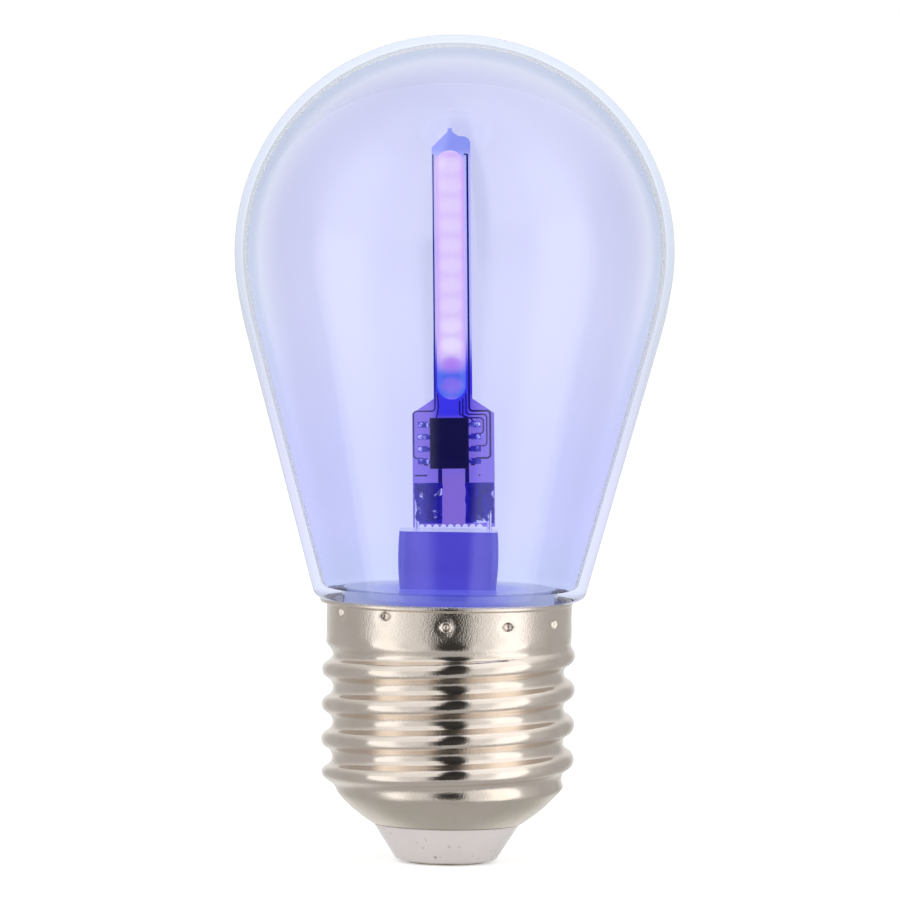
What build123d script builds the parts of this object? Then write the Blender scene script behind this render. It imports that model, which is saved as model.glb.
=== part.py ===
from build123d import *
import math
import os

# LED globe bulb with a 27 mm screw cap. Millimetres, +Z up, standing on its centre contact.
# The origin is the middle of the contact's lower face, and the board faces -Y.

# Globe: one moulded envelope with a neck pressed into the cap
GLOBE_R = 22.8
GLOBE_WALL = 1.3
CROWN_H = 22.5
CROWN_R = 23.25
BALL_ABOVE_RIM = 36.1
BLEND_R = 45.6
BLEND_START = 8.14
TAPER_ANGLE = 15.27
SHOULDER_R = 1.2
FLOOR_WALL = 1.2
FLOOR_EDGE_R = 0.8
NECK_DEPTH = 3.4
NECK_WALL = 1.45
NECK_FIT = 0.1
RIM_GAP = 0.05

# Screw cap: rolled sheet with a knuckle thread
CAP_H = 27.3
SHEET = 0.3
SKIRT_R = 12.85
RIM_FLARE = 0.4
RIM_BAND = 0.42
LIP_RISE = 0.17
LIP_CREASE = 0.04
THREAD_CREST_R = 13.15
THREAD_DEPTH = 1.15
THREAD_PITCH = 3.629
THREAD_START = 3.9
THREAD_FADE = 2.0
CREST_LEVEL = 18.12
FOOT_R = 7.85
FOOT_Z = 4.1
FOOT_SLOPE = 1.52
FOOT_CURVE = 0.118
FOOT_BEND = 0.15
THREAD_END = 3.9
FOOT_FADE = 2.6
THREAD_SAMPLES = 8
SHELL_STEPS = 6
SLOPE_STEP = 0.02

# Crimp marks that hold the neck in the cap
CRIMP_COUNT = 12
CRIMP_TURN = -1.5
CRIMP_BELOW_CREASE = 1.5
CRIMP_JAW_STEP = 0.9
CRIMP_R = 0.48
CRIMP_DEPTH = 0.4
CRIMP_FIT = 0.05

# Base insulator and centre contact
CONTACT_R = 4.3
CONTACT_T = 0.8
CONTACT_PROUD = 0.27
CONTACT_EDGE = 0.15
SHANK_R = 1.2
SHANK_BORE_R = 0.6
INSULATOR_TIP_R = 5.2
INSULATOR_COLLAR_R = 7.6
INSULATOR_EDGE = 0.3
INSULATOR_TOP = 7.0
INSULATOR_DISH = 1.6
INSULATOR_FIT = 0.08
INSULATOR_STEPS = 4

# Plug in the neck and the block that stands on it
PLUG_T = 2.6
PLUG_FIT = 0.1
PLUG_RIM_WALL = 1.2
PLUG_PLATE = 1.2
BLOCK_W = 10.2
BLOCK_D = 6.0
BLOCK_H = 6.0
BLOCK_BULGE = 0.2
BLOCK_BELLY = 0.55
BLOCK_EDGE = 0.8
BLOCK_OFFSET = -0.2

# Circuit board
BOARD_T = 0.8
BOARD_H = 41.0
BOARD_W = 8.5
STRIP_W = 4.0
BOARD_FOOT_H = 11.8
BOARD_SHOULDER_H = 1.5
TIP_H = 1.65
TIP_DIP = 0.5
TIP_SHOULDER = 1.2
TIP_SHOULDER_R = 0.8
TAB_W = 0.45
TAB_H = 0.33
TAB_OFFSET = -0.11
BOARD_LEAN = 1.3
BOARD_OFFSET = 0.36
BOARD_ABOVE_BLOCK = 0.35
SNAP_COUNT = 9
SNAP_PITCH = 0.753
SNAP_R = 0.3
SNAP_OFFSET = -0.35

# Chips and their silicone bead
BEAD_W = 2.96
BEAD_L = 25.8
BEAD_H = 0.9
BEAD_ROUND = 0.75
BEAD_OFFSET = -0.14
BEAD_BELOW_TIP = 1.95
DIE_COUNT = 12
DIE_PITCH = 2.07
DIE_W = 0.8
DIE_L = 0.5
DIE_T = 0.2

# Driver chip
IC_W = 4.05
IC_L = 5.3
IC_T = 1.4
IC_STANDOFF = 0.1
IC_DRAFT = 7.0
IC_OFFSET = -0.42
IC_LEVEL = 8.76
LEAD_PITCH = 1.27
LEADS_A_SIDE = 4
LEAD_W = 0.42
LEAD_T = 0.2
LEAD_SPAN = 5.9
LEAD_FOOT = 0.6
LEAD_KNEE = 0.22
LEAD_BEND_R = 0.12
JOINT_R = 0.3

# Copper on the face of the board
COPPER_T = 0.07
TRACK_W = 0.14
RAIL_W = 0.2
POWER_W = 0.42
PAD_W = 1.05
PAD_L = 0.62
LAND_SPAN = 6.55
RAIL_LEFT = -1.88
RAIL_RIGHT = 1.67
RAIL_BELOW_TIP = 2.35
HOOK_L = 0.35
LANE_OUT = 3.83
LANE_PITCH = 0.36
LANE_START_PITCH = 0.33
LANE_START_RISE = 1.12
LANE_START_STEP = 0.5
EDGE_LANE = -4.12
ROW_LEVEL = 12.05
PAD_TRACK_RAISE = 0.3
WIRE_PAD_W = 2.9
WIRE_PAD_H = 4.25
WIRE_PAD_X = 2.68
WIRE_PAD_RAISE = 0.36
POWER_X = 1.4
DASH_L = 1.3
DASH_W = 0.17
DASH_LEVEL = 5.37
SPOT_R = 0.1

# Lead wires, solder and the resistor in the cap
WIRE_R = 0.26
WIRE_FIT = 0.02
WIRE_FILM = 0.05
WIRE_SPACING = 7.5
WIRE_SHIFT = -0.11
WIRE_ON_BOARD = 2.9
WIRE_BEND = 1.2
SIDE_WIRE_BELOW_NECK = 1.3
SIDE_WIRE_GAP = 0.05
SOLDER_R = 1.2
SOLDER_H = 0.75
SOLDER_LEVEL = 2.55
SOLDER_SHIFT = 0.55
SOLDER_FOOT_R = 0.95
SOLDER_FOOT_H = 0.72
SOLDER_FOOT_LEVEL = 1.6
RESISTOR_R = 1.0
RESISTOR_L = 6.3
RESISTOR_END_R = 1.2
RESISTOR_END_L = 1.3
RESISTOR_BELOW_NECK = 6.4
RESISTOR_BEND_DROP = 2.0
CONTACT_WIRE_RISE = 0.9
CONTACT_BORE_FLOOR = 0.4
SHANK_HEAD = 0.55
SHANK_HEAD_T = 0.3

# Positions that follow from the sizes
RIM_Z = CAP_H + RIM_GAP
BALL_Z = RIM_Z + BALL_ABOVE_RIM
CREASE_Z = CAP_H - RIM_BAND
NECK_R = SKIRT_R - SHEET - NECK_FIT
NECK_BORE_R = NECK_R - NECK_WALL
NECK_END_Z = RIM_Z - NECK_DEPTH
FLOOR_Z = RIM_Z + FLOOR_WALL
THREAD_MEAN_R = THREAD_CREST_R - THREAD_DEPTH / 2
THREAD_TOP_Z = CAP_H - THREAD_START
THREAD_END_Z = FOOT_Z + THREAD_END
DISH_Z = INSULATOR_TOP - INSULATOR_DISH
BLOCK_TOP_Z = FLOOR_Z + BLOCK_H
BOARD_Z = BLOCK_TOP_Z + BOARD_ABOVE_BLOCK
FACE_Y = BOARD_T / 2
COPPER_Y = FACE_Y + COPPER_T
BEAD_TOP = BOARD_H - BEAD_BELOW_TIP
BEAD_END = BEAD_TOP - BEAD_L
IC_MID_Y = COPPER_Y + IC_STANDOFF + IC_T / 2
WIRE_Y = -COPPER_Y - WIRE_FILM - WIRE_R
WIRE_MIDDLE = BOARD_OFFSET + WIRE_SHIFT
WIRE_LEFT_X = WIRE_MIDDLE - WIRE_SPACING / 2
WIRE_RIGHT_X = WIRE_MIDDLE + WIRE_SPACING / 2
WIRE_TOP_Z = BOARD_Z + WIRE_ON_BOARD
RESISTOR_TOP_Z = NECK_END_Z - RESISTOR_BELOW_NECK

BOARD_PLACE = Location((BOARD_OFFSET, 0, BOARD_Z), (0, -BOARD_LEAN, 0))
BOARD_FACE = Plane.XZ.offset(FACE_Y)


def smooth(value):
    value = min(1.0, max(0.0, value))
    return value * value * (3 - 2 * value)


def solid_of(shape):
    solids = shape.solids()
    return solids[0] if len(solids) == 1 else Compound(children=list(solids))


def turned(edges):
    """A body of revolution about Z from the edges of its half section in the XZ plane."""
    return revolve(make_face(Plane.XZ * Wire(edges)), Axis.Z)


def arc_point(centre, radius, turn):
    return centre[0] + radius * math.cos(turn), centre[1] + radius * math.sin(turn)


def crown_arcs(inset):
    """The slightly flat top: a wide arc over the axis and a tighter one down to the ball's side."""
    tight = (GLOBE_R ** 2 + CROWN_H ** 2 - 2 * CROWN_H * CROWN_R) / (2 * (GLOBE_R - CROWN_R))
    wide_centre = (0, BALL_Z + CROWN_H - CROWN_R)
    tight_centre = (GLOBE_R - tight, BALL_Z)
    turn = math.atan2(CROWN_R - CROWN_H, GLOBE_R - tight)
    top = (0, BALL_Z + CROWN_H - inset)
    top_mid = arc_point(wide_centre, CROWN_R - inset, (math.pi / 2 + turn) / 2)
    joint = arc_point(wide_centre, CROWN_R - inset, turn)
    side_mid = arc_point(tight_centre, tight - inset, turn / 2)
    side = (GLOBE_R - inset, BALL_Z)
    return [ThreePointArc(top, top_mid, joint), ThreePointArc(joint, side_mid, side)]


def globe_section(inset):
    """Points of the envelope's half section, a wall of inset inside the outer skin."""
    a1 = math.radians(BLEND_START)
    a2 = math.radians(TAPER_ANGLE)
    blend_x = (GLOBE_R - BLEND_R) * math.cos(a1)
    blend_z = BALL_Z - (GLOBE_R - BLEND_R) * math.sin(a1)
    ball = GLOBE_R - inset
    blend = BLEND_R - inset
    mid = (a1 + a2) / 2
    side = (ball, BALL_Z)
    blend_top = (ball * math.cos(a1), BALL_Z - ball * math.sin(a1))
    blend_mid = (blend_x + blend * math.cos(mid), blend_z - blend * math.sin(mid))
    taper_top = (blend_x + blend * math.cos(a2), blend_z - blend * math.sin(a2))
    return side, blend_top, blend_mid, taper_top


def skin_edges(inset, floor_z, corner_r):
    """Edges of one skin from the top of the ball to the round over at the floor, and the end point."""
    side, blend_top, blend_mid, taper_top = globe_section(inset)
    ball = GLOBE_R - inset
    taper = math.radians(TAPER_ANGLE)
    corner = (taper_top[0] - math.tan(taper) * (taper_top[1] - floor_z), floor_z)
    half_turn = (math.pi / 2 - taper) / 2
    reach = corner_r * math.tan(half_turn)
    taper_end = (corner[0] + reach * math.sin(taper), corner[1] + reach * math.cos(taper))
    floor_start = (corner[0] - reach, floor_z)
    corner_turn = taper + half_turn
    middle = (
        floor_start[0] + corner_r * math.cos(corner_turn),
        floor_z + corner_r - corner_r * math.sin(corner_turn),
    )
    low_mid_angle = math.radians(-BLEND_START / 2)
    low_mid = (ball * math.cos(low_mid_angle), BALL_Z + ball * math.sin(low_mid_angle))
    edges = crown_arcs(inset) + [
        ThreePointArc(side, low_mid, blend_top),
        ThreePointArc(blend_top, blend_mid, taper_top),
        Line(taper_top, taper_end),
        ThreePointArc(taper_end, middle, floor_start),
    ]
    return edges, floor_start


def crimp_centres():
    """Centres of the punch balls, outside the skirt. One jaw of the crimping head sits higher."""
    reach = SKIRT_R + CRIMP_R - CRIMP_DEPTH
    centres = []
    for i in range(CRIMP_COUNT):
        angle = math.radians(CRIMP_TURN - 90 + i * 360 / CRIMP_COUNT)
        x = reach * math.cos(angle)
        jaw = CRIMP_JAW_STEP if x < -CRIMP_R * 2 else 0
        centres.append(Vector(x, reach * math.sin(angle), CREASE_Z - CRIMP_BELOW_CREASE + jaw))
    return centres


def make_globe():
    outer, shoulder = skin_edges(0, RIM_Z, SHOULDER_R)
    inner, floor_end = skin_edges(GLOBE_WALL, FLOOR_Z, FLOOR_EDGE_R)
    neck = [
        shoulder,
        (NECK_R, RIM_Z),
        (NECK_R, NECK_END_Z),
        (NECK_BORE_R, NECK_END_Z),
        (NECK_BORE_R, FLOOR_Z),
        floor_end,
    ]
    crown = Line((0, BALL_Z + CROWN_H), (0, BALL_Z + CROWN_H - GLOBE_WALL))
    lines = [Line(a, b) for a, b in zip(neck, neck[1:])]
    globe = turned(outer + lines + inner + [crown])
    for centre in crimp_centres():
        globe -= Pos(centre) * Sphere(CRIMP_R + SHEET + CRIMP_FIT)
    return solid_of(globe)


def thread_wave(distance):
    """Height of the knuckle thread over its mean radius, at a distance along Z from a crest."""
    half = THREAD_PITCH / 2
    ratio = THREAD_DEPTH / half
    angle = 2 * math.atan(ratio)
    arc = half / (2 * math.sin(angle))
    s = abs((distance + half) % THREAD_PITCH - half)
    if s <= half / 2:
        return THREAD_DEPTH / 2 - arc + math.sqrt(max(0.0, arc * arc - s * s))
    s = half - s
    return -THREAD_DEPTH / 2 + arc - math.sqrt(max(0.0, arc * arc - s * s))


def foot_radius(z):
    """Outer radius of the domed foot, which steepens towards the thread."""
    rise = min(z - FOOT_Z, FOOT_SLOPE / FOOT_CURVE / 2)
    return FOOT_R + rise * FOOT_SLOPE - rise * rise * FOOT_CURVE


def shell_radius(z, turn):
    """Outer radius of the screw cap at a height and a turn about Z, in degrees from +X."""
    fade = smooth((THREAD_TOP_Z - z) / THREAD_FADE)
    straight = SKIRT_R + (THREAD_MEAN_R - SKIRT_R) * fade
    foot = foot_radius(z)
    gap = (straight - foot) / FOOT_BEND
    if gap > 1:
        base = foot
    elif gap < -1:
        base = straight
    else:
        base = straight - FOOT_BEND * (gap + 1) ** 2 / 4
    strength = fade * smooth((z - THREAD_END_Z + FOOT_FADE / 2) / FOOT_FADE)
    crest = CREST_LEVEL + THREAD_PITCH * turn / 360
    return base + strength * thread_wave(z - crest)


def sheet_inside(outside, z):
    """Radius one sheet thickness inside an outer surface, which gives its radius at a height."""
    slope = (outside(z + SLOPE_STEP) - outside(z - SLOPE_STEP)) / (2 * SLOPE_STEP)
    return outside(z) - SHEET * math.sqrt(1 + slope * slope)


def shell_inside(z, turn):
    return sheet_inside(lambda level: shell_radius(level, turn), z)


def shell_section(turn):
    """Closed half section of the cap's sheet in the upright plane at a turn about Z."""
    count = round((THREAD_TOP_Z - FOOT_Z) / THREAD_PITCH * THREAD_SAMPLES)
    levels = [FOOT_Z + (THREAD_TOP_Z - FOOT_Z) * i / count for i in range(count + 1)]
    outer = [(shell_radius(z, turn), z) for z in levels]
    inner = [(shell_inside(z, turn), z) for z in levels]
    rim = [
        outer[-1],
        (SKIRT_R, CREASE_Z),
        (SKIRT_R + RIM_FLARE, CREASE_Z + LIP_RISE),
        (SKIRT_R + RIM_FLARE, CAP_H),
        (SKIRT_R - SHEET + RIM_FLARE, CAP_H),
        (SKIRT_R - SHEET, CREASE_Z + LIP_RISE - LIP_CREASE),
        inner[-1],
    ]
    edges = [Spline(*outer)]
    edges += [Line(a, b) for a, b in zip(rim, rim[1:])]
    edges += [Spline(*reversed(inner)), Line(inner[0], outer[0])]
    return Rot(0, 0, turn) * (Plane.XZ * Wire(edges))


def make_screw_shell():
    steps = SHELL_STEPS
    halves = []
    for start in (0, 180):
        wires = [shell_section(start + 180 * i / steps) for i in range(steps + 1)]
        halves.append(Solid.make_loft(wires))
    shell = halves[0] + halves[1]
    for centre in crimp_centres():
        boss = Pos(centre) * Sphere(CRIMP_R + SHEET)
        boss &= Cylinder(SKIRT_R - SHEET / 2, CAP_H * 3)
        shell += boss
    for centre in crimp_centres():
        shell -= Pos(centre) * Sphere(CRIMP_R)
    return solid_of(shell)


def make_base_insulator():
    """It fills the foot of the cap and stands out under the foot's edge as a collar."""
    bore = SHANK_R + INSULATOR_FIT
    seat = CONTACT_R + INSULATOR_FIT
    points = [
        (bore, CONTACT_T),
        (seat, CONTACT_T),
        (seat, CONTACT_PROUD),
        (INSULATOR_TIP_R - INSULATOR_EDGE, CONTACT_PROUD),
        (INSULATOR_TIP_R, CONTACT_PROUD + INSULATOR_EDGE),
        (INSULATOR_COLLAR_R, FOOT_Z - INSULATOR_FIT),
        (sheet_inside(foot_radius, FOOT_Z) - INSULATOR_FIT, FOOT_Z - INSULATOR_FIT),
    ]
    for i in range(INSULATOR_STEPS + 1):
        level = FOOT_Z + (INSULATOR_TOP - FOOT_Z) * i / INSULATOR_STEPS
        points.append((sheet_inside(foot_radius, level) - INSULATOR_FIT, level))
    dish = points[-1][0] - INSULATOR_DISH
    points += [
        (dish, INSULATOR_TOP),
        (dish - INSULATOR_DISH, DISH_Z),
        (bore, DISH_Z),
    ]
    return solid_of(turned(Polyline(*points, close=True).edges()))


def make_center_contact():
    head = SHANK_R + SHANK_HEAD
    floor = CONTACT_T + CONTACT_BORE_FLOOR
    points = [
        (0, 0),
        (CONTACT_R - CONTACT_EDGE, 0),
        (CONTACT_R, CONTACT_EDGE),
        (CONTACT_R, CONTACT_T),
        (SHANK_R, CONTACT_T),
        (SHANK_R, DISH_Z),
        (head, DISH_Z),
        (head, DISH_Z + SHANK_HEAD_T),
        (SHANK_BORE_R, DISH_Z + SHANK_HEAD_T),
        (SHANK_BORE_R, floor),
        (0, floor),
    ]
    return solid_of(turned(Polyline(*points, close=True).edges()))


def wire_holes(low, high):
    """The two holes that the lead wires pass through, between two heights."""
    hole = Cylinder(WIRE_R + WIRE_FIT, high - low, align=(Align.CENTER, Align.CENTER, Align.MIN))
    return [Pos(x, WIRE_Y, low) * hole for x in (WIRE_LEFT_X, WIRE_RIGHT_X)]


def make_neck_plug():
    radius = NECK_BORE_R - PLUG_FIT
    inside = radius - PLUG_RIM_WALL
    under = FLOOR_Z - PLUG_PLATE
    points = [
        (0, FLOOR_Z),
        (radius, FLOOR_Z),
        (radius, FLOOR_Z - PLUG_T),
        (inside, FLOOR_Z - PLUG_T),
        (inside, under),
        (0, under),
    ]
    plug = turned(Polyline(*points, close=True).edges())
    for hole in wire_holes(under - 1, FLOOR_Z + 1):
        plug -= hole
    return solid_of(plug)


def make_stem_block():
    """A poured block: its sides belly out between a narrower foot and top."""
    sections = []
    for share, bulge in ((0, -BLOCK_BULGE), (BLOCK_BELLY, BLOCK_BULGE), (1, 0)):
        outline = RectangleRounded(BLOCK_W + bulge, BLOCK_D + bulge, BLOCK_EDGE)
        sections.append(Pos(BLOCK_OFFSET, 0, FLOOR_Z + BLOCK_H * share) * outline)
    block = loft(sections)
    for hole in wire_holes(FLOOR_Z - 1, BLOCK_TOP_Z + 1):
        block -= hole
    return solid_of(block)


def make_circuit_board():
    foot = BOARD_W / 2
    strip = STRIP_W / 2
    tab_left = TAB_OFFSET - TAB_W / 2
    tab_right = TAB_OFFSET + TAB_W / 2
    waist = BOARD_FOOT_H + BOARD_SHOULDER_H
    dip = BOARD_H - TIP_DIP
    outline = [
        (-foot, 0),
        (foot, 0),
        (foot, BOARD_FOOT_H),
        (strip, waist),
        (strip, dip),
        (strip - TIP_SHOULDER, dip),
        (tab_right, BOARD_H),
        (tab_right, BOARD_H + TAB_H),
        (tab_left, BOARD_H + TAB_H),
        (tab_left, BOARD_H),
        (-strip, BOARD_H - TIP_H),
        (-strip, waist),
        (-foot, BOARD_FOOT_H),
    ]
    face = make_face(Polyline(*outline, close=True))
    corner = face.vertices().sort_by_distance((strip, dip))[0]
    face = fillet(corner, TIP_SHOULDER_R)
    for i in range(SNAP_COUNT):
        x = SNAP_OFFSET + (i - (SNAP_COUNT - 1) / 2) * SNAP_PITCH
        face -= Pos(x, 0) * Circle(SNAP_R)
    return solid_of(BOARD_PLACE * extrude(Plane.XZ * face, BOARD_T / 2, both=True))


def die_boxes():
    """The chips in the board's own frame, in a row down the middle of the bead."""
    middle = (BEAD_TOP + BEAD_END) / 2
    boxes = []
    for i in range(DIE_COUNT):
        level = middle + ((DIE_COUNT - 1) / 2 - i) * DIE_PITCH
        chip = Pos(BEAD_OFFSET, level) * Rectangle(DIE_W, DIE_L)
        boxes.append(extrude(BOARD_FACE * chip, DIE_T))
    return boxes


def make_led_dies():
    return Compound(children=[BOARD_PLACE * box.solid() for box in die_boxes()])


def make_led_bead():
    middle = (BEAD_TOP + BEAD_END) / 2
    outline = Pos(BEAD_OFFSET, middle) * Rot(0, 0, 90) * SlotOverall(BEAD_L, BEAD_W)
    bead = extrude(BOARD_FACE * outline, BEAD_H)
    front = bead.faces().sort_by(Axis.Y)[0]
    bead = fillet(front.edges(), BEAD_ROUND)
    for box in die_boxes():
        bead -= box
    return solid_of(BOARD_PLACE * bead)


def make_driver_ic():
    middle = Pos(IC_OFFSET, IC_LEVEL) * Rectangle(IC_W, IC_L)
    plane = Plane.XZ.offset(IC_MID_Y)
    body = extrude(plane * middle, IC_T / 2, taper=IC_DRAFT)
    body += extrude(plane * middle, -IC_T / 2, taper=IC_DRAFT)
    return solid_of(BOARD_PLACE * body)


def lead_levels():
    return [IC_LEVEL + (i - (LEADS_A_SIDE - 1) / 2) * LEAD_PITCH for i in range(LEADS_A_SIDE)]


def lead_shape():
    """One gull-wing lead, from the side of the chip's body out and down to its pad."""
    points = [
        (IC_W / 2, -IC_MID_Y),
        (IC_W / 2 + LEAD_KNEE, -IC_MID_Y),
        (LEAD_SPAN / 2 - LEAD_FOOT, -COPPER_Y - LEAD_T / 2),
        (LEAD_SPAN / 2, -COPPER_Y - LEAD_T / 2),
    ]
    return extrude(trace(FilletPolyline(*points, radius=LEAD_BEND_R), LEAD_T), LEAD_W / 2, both=True)


def at_each_lead(shape):
    """Copies of a shape at every lead, mirrored for the left side, in place on the board."""
    placed = []
    for level in lead_levels():
        for copy in (shape, mirror(shape, Plane.YZ)):
            placed.append(BOARD_PLACE * Pos(IC_OFFSET, 0, level) * copy.solid())
    return placed


def make_ic_leads():
    return Compound(children=at_each_lead(lead_shape()))


def make_ic_solder_joints():
    toe = LEAD_SPAN / 2
    size = JOINT_R * 2
    ball = Pos(toe, -COPPER_Y, 0) * Sphere(JOINT_R)
    quarter = Pos(toe + size / 2, -COPPER_Y - size / 2, 0) * Box(size, size, size)
    return Compound(children=at_each_lead(ball & quarter))


def pad_faces():
    """The tinned lands under the leads and the two large pads for the wires."""
    lands = Sketch()
    for level in lead_levels():
        for side in (-1, 1):
            x = IC_OFFSET + side * (LAND_SPAN - PAD_W) / 2
            lands += Pos(x, level) * Rectangle(PAD_W, PAD_L)
    for side in (-1, 1):
        centre = WIRE_PAD_RAISE + WIRE_PAD_H / 2
        lands += Pos(side * WIRE_PAD_X, centre) * Rectangle(WIRE_PAD_W, WIRE_PAD_H)
    return lands


def rounded_path(points, radius, width):
    return trace(FilletPolyline(*points, radius=radius), width)


def track_faces():
    """The copper lines: two rails along the strip, the nested lanes to the chip and the power feeds."""
    levels = lead_levels()
    rail_top = BOARD_H - RAIL_BELOW_TIP
    land_x = (LAND_SPAN - PAD_W) / 2
    rail = [
        (RAIL_LEFT, rail_top),
        (RAIL_LEFT, ROW_LEVEL),
        (EDGE_LANE, ROW_LEVEL),
        (EDGE_LANE, levels[0] + PAD_TRACK_RAISE),
        (IC_OFFSET - land_x, levels[0] + PAD_TRACK_RAISE),
    ]
    tracks = rounded_path(rail, LANE_PITCH, TRACK_W)
    for i in range(LEADS_A_SIDE - 1):
        start_x = RAIL_RIGHT - i * LANE_START_PITCH
        start = rail_top if i == 0 else BEAD_END + LANE_START_RISE - i * LANE_START_STEP
        row = ROW_LEVEL - i * LANE_PITCH
        lane = LANE_OUT - i * LANE_PITCH
        end = levels[i] + PAD_TRACK_RAISE
        points = [(start_x, start), (start_x, row), (lane, row), (lane, end), (IC_OFFSET + land_x, end)]
        tracks += rounded_path(points, LANE_PITCH, RAIL_W if i == 0 else TRACK_W)
    hook = [(RAIL_RIGHT - HOOK_L, rail_top), (RAIL_RIGHT, rail_top)]
    tracks += trace(Line(*hook), TRACK_W)
    first_x = RAIL_RIGHT - (LEADS_A_SIDE - 1) * LANE_START_PITCH
    first = [
        (first_x, BEAD_END - TRACK_W),
        (first_x, ROW_LEVEL - LANE_PITCH),
        (IC_OFFSET + land_x - PAD_W / 2, levels[-1] + PAD_L),
        (IC_OFFSET + land_x, levels[-1]),
    ]
    tracks += rounded_path(first, TRACK_W, TRACK_W)
    inner = [
        (BEAD_OFFSET - BEAD_W / 2, BEAD_END + PAD_L),
        (RAIL_LEFT + LANE_PITCH, ROW_LEVEL + LANE_PITCH),
        (RAIL_LEFT + TRACK_W, ROW_LEVEL - 2 * LANE_PITCH),
    ]
    tracks += rounded_path(inner, TRACK_W, TRACK_W)
    pad_top = WIRE_PAD_RAISE + WIRE_PAD_H
    for side in (-1, 1):
        feed = [(side * POWER_X, pad_top - POWER_W), (side * POWER_X, levels[0])]
        tracks += trace(Line(*feed), POWER_W)
        corner = IC_OFFSET + side * (land_x - PAD_W / 2 + POWER_W / 2)
        tracks += trace(Line((corner, levels[0]), (corner, levels[0] - PAD_L / 2 - TRACK_W)), POWER_W)
    dash_x = -WIRE_PAD_X - POWER_X / 2
    tracks += Pos(dash_x, DASH_LEVEL) * Rectangle(DASH_L, DASH_W)
    tracks += Pos(WIRE_PAD_X, DASH_LEVEL) * Circle(SPOT_R)
    return tracks - pad_faces()


def foil(faces):
    """Thin metal on the board's front face."""
    sheet = extrude(BOARD_FACE * faces, COPPER_T)
    return Compound(children=[BOARD_PLACE * piece for piece in sheet.solids()])


def make_copper_tracks():
    return foil(track_faces())


def make_solder_pads():
    return foil(pad_faces())


def solder_cap(x, level, radius, height):
    """A drop of solder: the cap of a ball standing on the copper."""
    ball = (radius ** 2 + height ** 2) / (2 * height)
    drop = Pos(x, -COPPER_Y + ball - height, level) * Sphere(ball)
    front = Pos(x, -COPPER_Y - height, level) * Box(4 * radius, 2 * height, 4 * radius)
    return drop & front


def make_solder(side, wire):
    """The solder over one wire pad, with the wire running into it."""
    wire_x = side * (WIRE_SPACING / 2) + WIRE_SHIFT
    shift = SOLDER_SHIFT if side < 0 else SOLDER_SHIFT / -2
    drop = solder_cap(side * WIRE_PAD_X + shift, SOLDER_LEVEL, SOLDER_R, SOLDER_H)
    drop += solder_cap(wire_x, SOLDER_FOOT_LEVEL, SOLDER_FOOT_R, SOLDER_FOOT_H)
    return solid_of(BOARD_PLACE * drop - wire)


def swept_wire(points, bend):
    path = FilletPolyline(*points, radius=bend)
    section = Plane(origin=path @ 0, z_dir=path % 0) * Circle(WIRE_R)
    return solid_of(sweep(section, path))


def make_lead_wire_left():
    """From the left pad down through block and plug, then out to the side of the cap."""
    level = NECK_END_Z - SIDE_WIRE_BELOW_NECK
    sides = [shell_inside(level + step * WIRE_R, 180) for step in (-1, 0, 1)]
    reach = min(sides) - SIDE_WIRE_GAP
    points = [(WIRE_LEFT_X, WIRE_Y, WIRE_TOP_Z), (WIRE_LEFT_X, WIRE_Y, level), (-reach, WIRE_Y, level)]
    return swept_wire(points, WIRE_BEND)


def make_lead_wire_right():
    """From the right pad straight down to the resistor."""
    length = WIRE_TOP_Z - RESISTOR_TOP_Z
    wire = Cylinder(WIRE_R, length, align=(Align.CENTER, Align.CENTER, Align.MIN))
    return solid_of(Pos(WIRE_RIGHT_X, WIRE_Y, RESISTOR_TOP_Z) * wire)


def make_fuse_resistor():
    middle = RESISTOR_L / 2 - RESISTOR_END_L
    slope = RESISTOR_END_R - RESISTOR_R
    half = [
        (0, 0),
        (RESISTOR_R, 0),
        (RESISTOR_R, middle - slope),
        (RESISTOR_END_R, middle),
        (RESISTOR_END_R, RESISTOR_L / 2 - slope),
        (RESISTOR_R, RESISTOR_L / 2),
        (0, RESISTOR_L / 2),
    ]
    upper = turned(Polyline(*half, close=True).edges())
    body = upper + mirror(upper, Plane.XY)
    return solid_of(Pos(WIRE_RIGHT_X, WIRE_Y, RESISTOR_TOP_Z - RESISTOR_L / 2) * body)


def make_contact_lead():
    """From the resistor across to the middle and down into the contact's bore."""
    start = RESISTOR_TOP_Z - RESISTOR_L
    points = [
        (WIRE_RIGHT_X, WIRE_Y, start),
        (WIRE_RIGHT_X, WIRE_Y, start - RESISTOR_BEND_DROP),
        (0, 0, INSULATOR_TOP + CONTACT_WIRE_RISE),
        (0, 0, CONTACT_T + CONTACT_BORE_FLOOR),
    ]
    return swept_wire(points, RESISTOR_BEND_DROP / 2)


lead_wire_left = make_lead_wire_left()
lead_wire_right = make_lead_wire_right()

PARTS = {
    "globe": make_globe(),
    "screw_shell": make_screw_shell(),
    "base_insulator": make_base_insulator(),
    "center_contact": make_center_contact(),
    "neck_plug": make_neck_plug(),
    "stem_block": make_stem_block(),
    "circuit_board": make_circuit_board(),
    "led_dies": make_led_dies(),
    "led_bead": make_led_bead(),
    "driver_ic": make_driver_ic(),
    "ic_leads": make_ic_leads(),
    "ic_solder_joints": make_ic_solder_joints(),
    "copper_tracks": make_copper_tracks(),
    "solder_pads": make_solder_pads(),
    "solder_left": make_solder(-1, lead_wire_left),
    "solder_right": make_solder(1, lead_wire_right),
    "lead_wire_left": lead_wire_left,
    "lead_wire_right": lead_wire_right,
    "fuse_resistor": make_fuse_resistor(),
    "contact_lead": make_contact_lead(),
}

os.makedirs("parts", exist_ok=True)
for name, shape in PARTS.items():
    export_step(shape, f"parts/{name}.step")
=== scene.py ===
import math

import bmesh
import bpy
from mathutils import Matrix, Quaternion, Vector, noise


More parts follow.
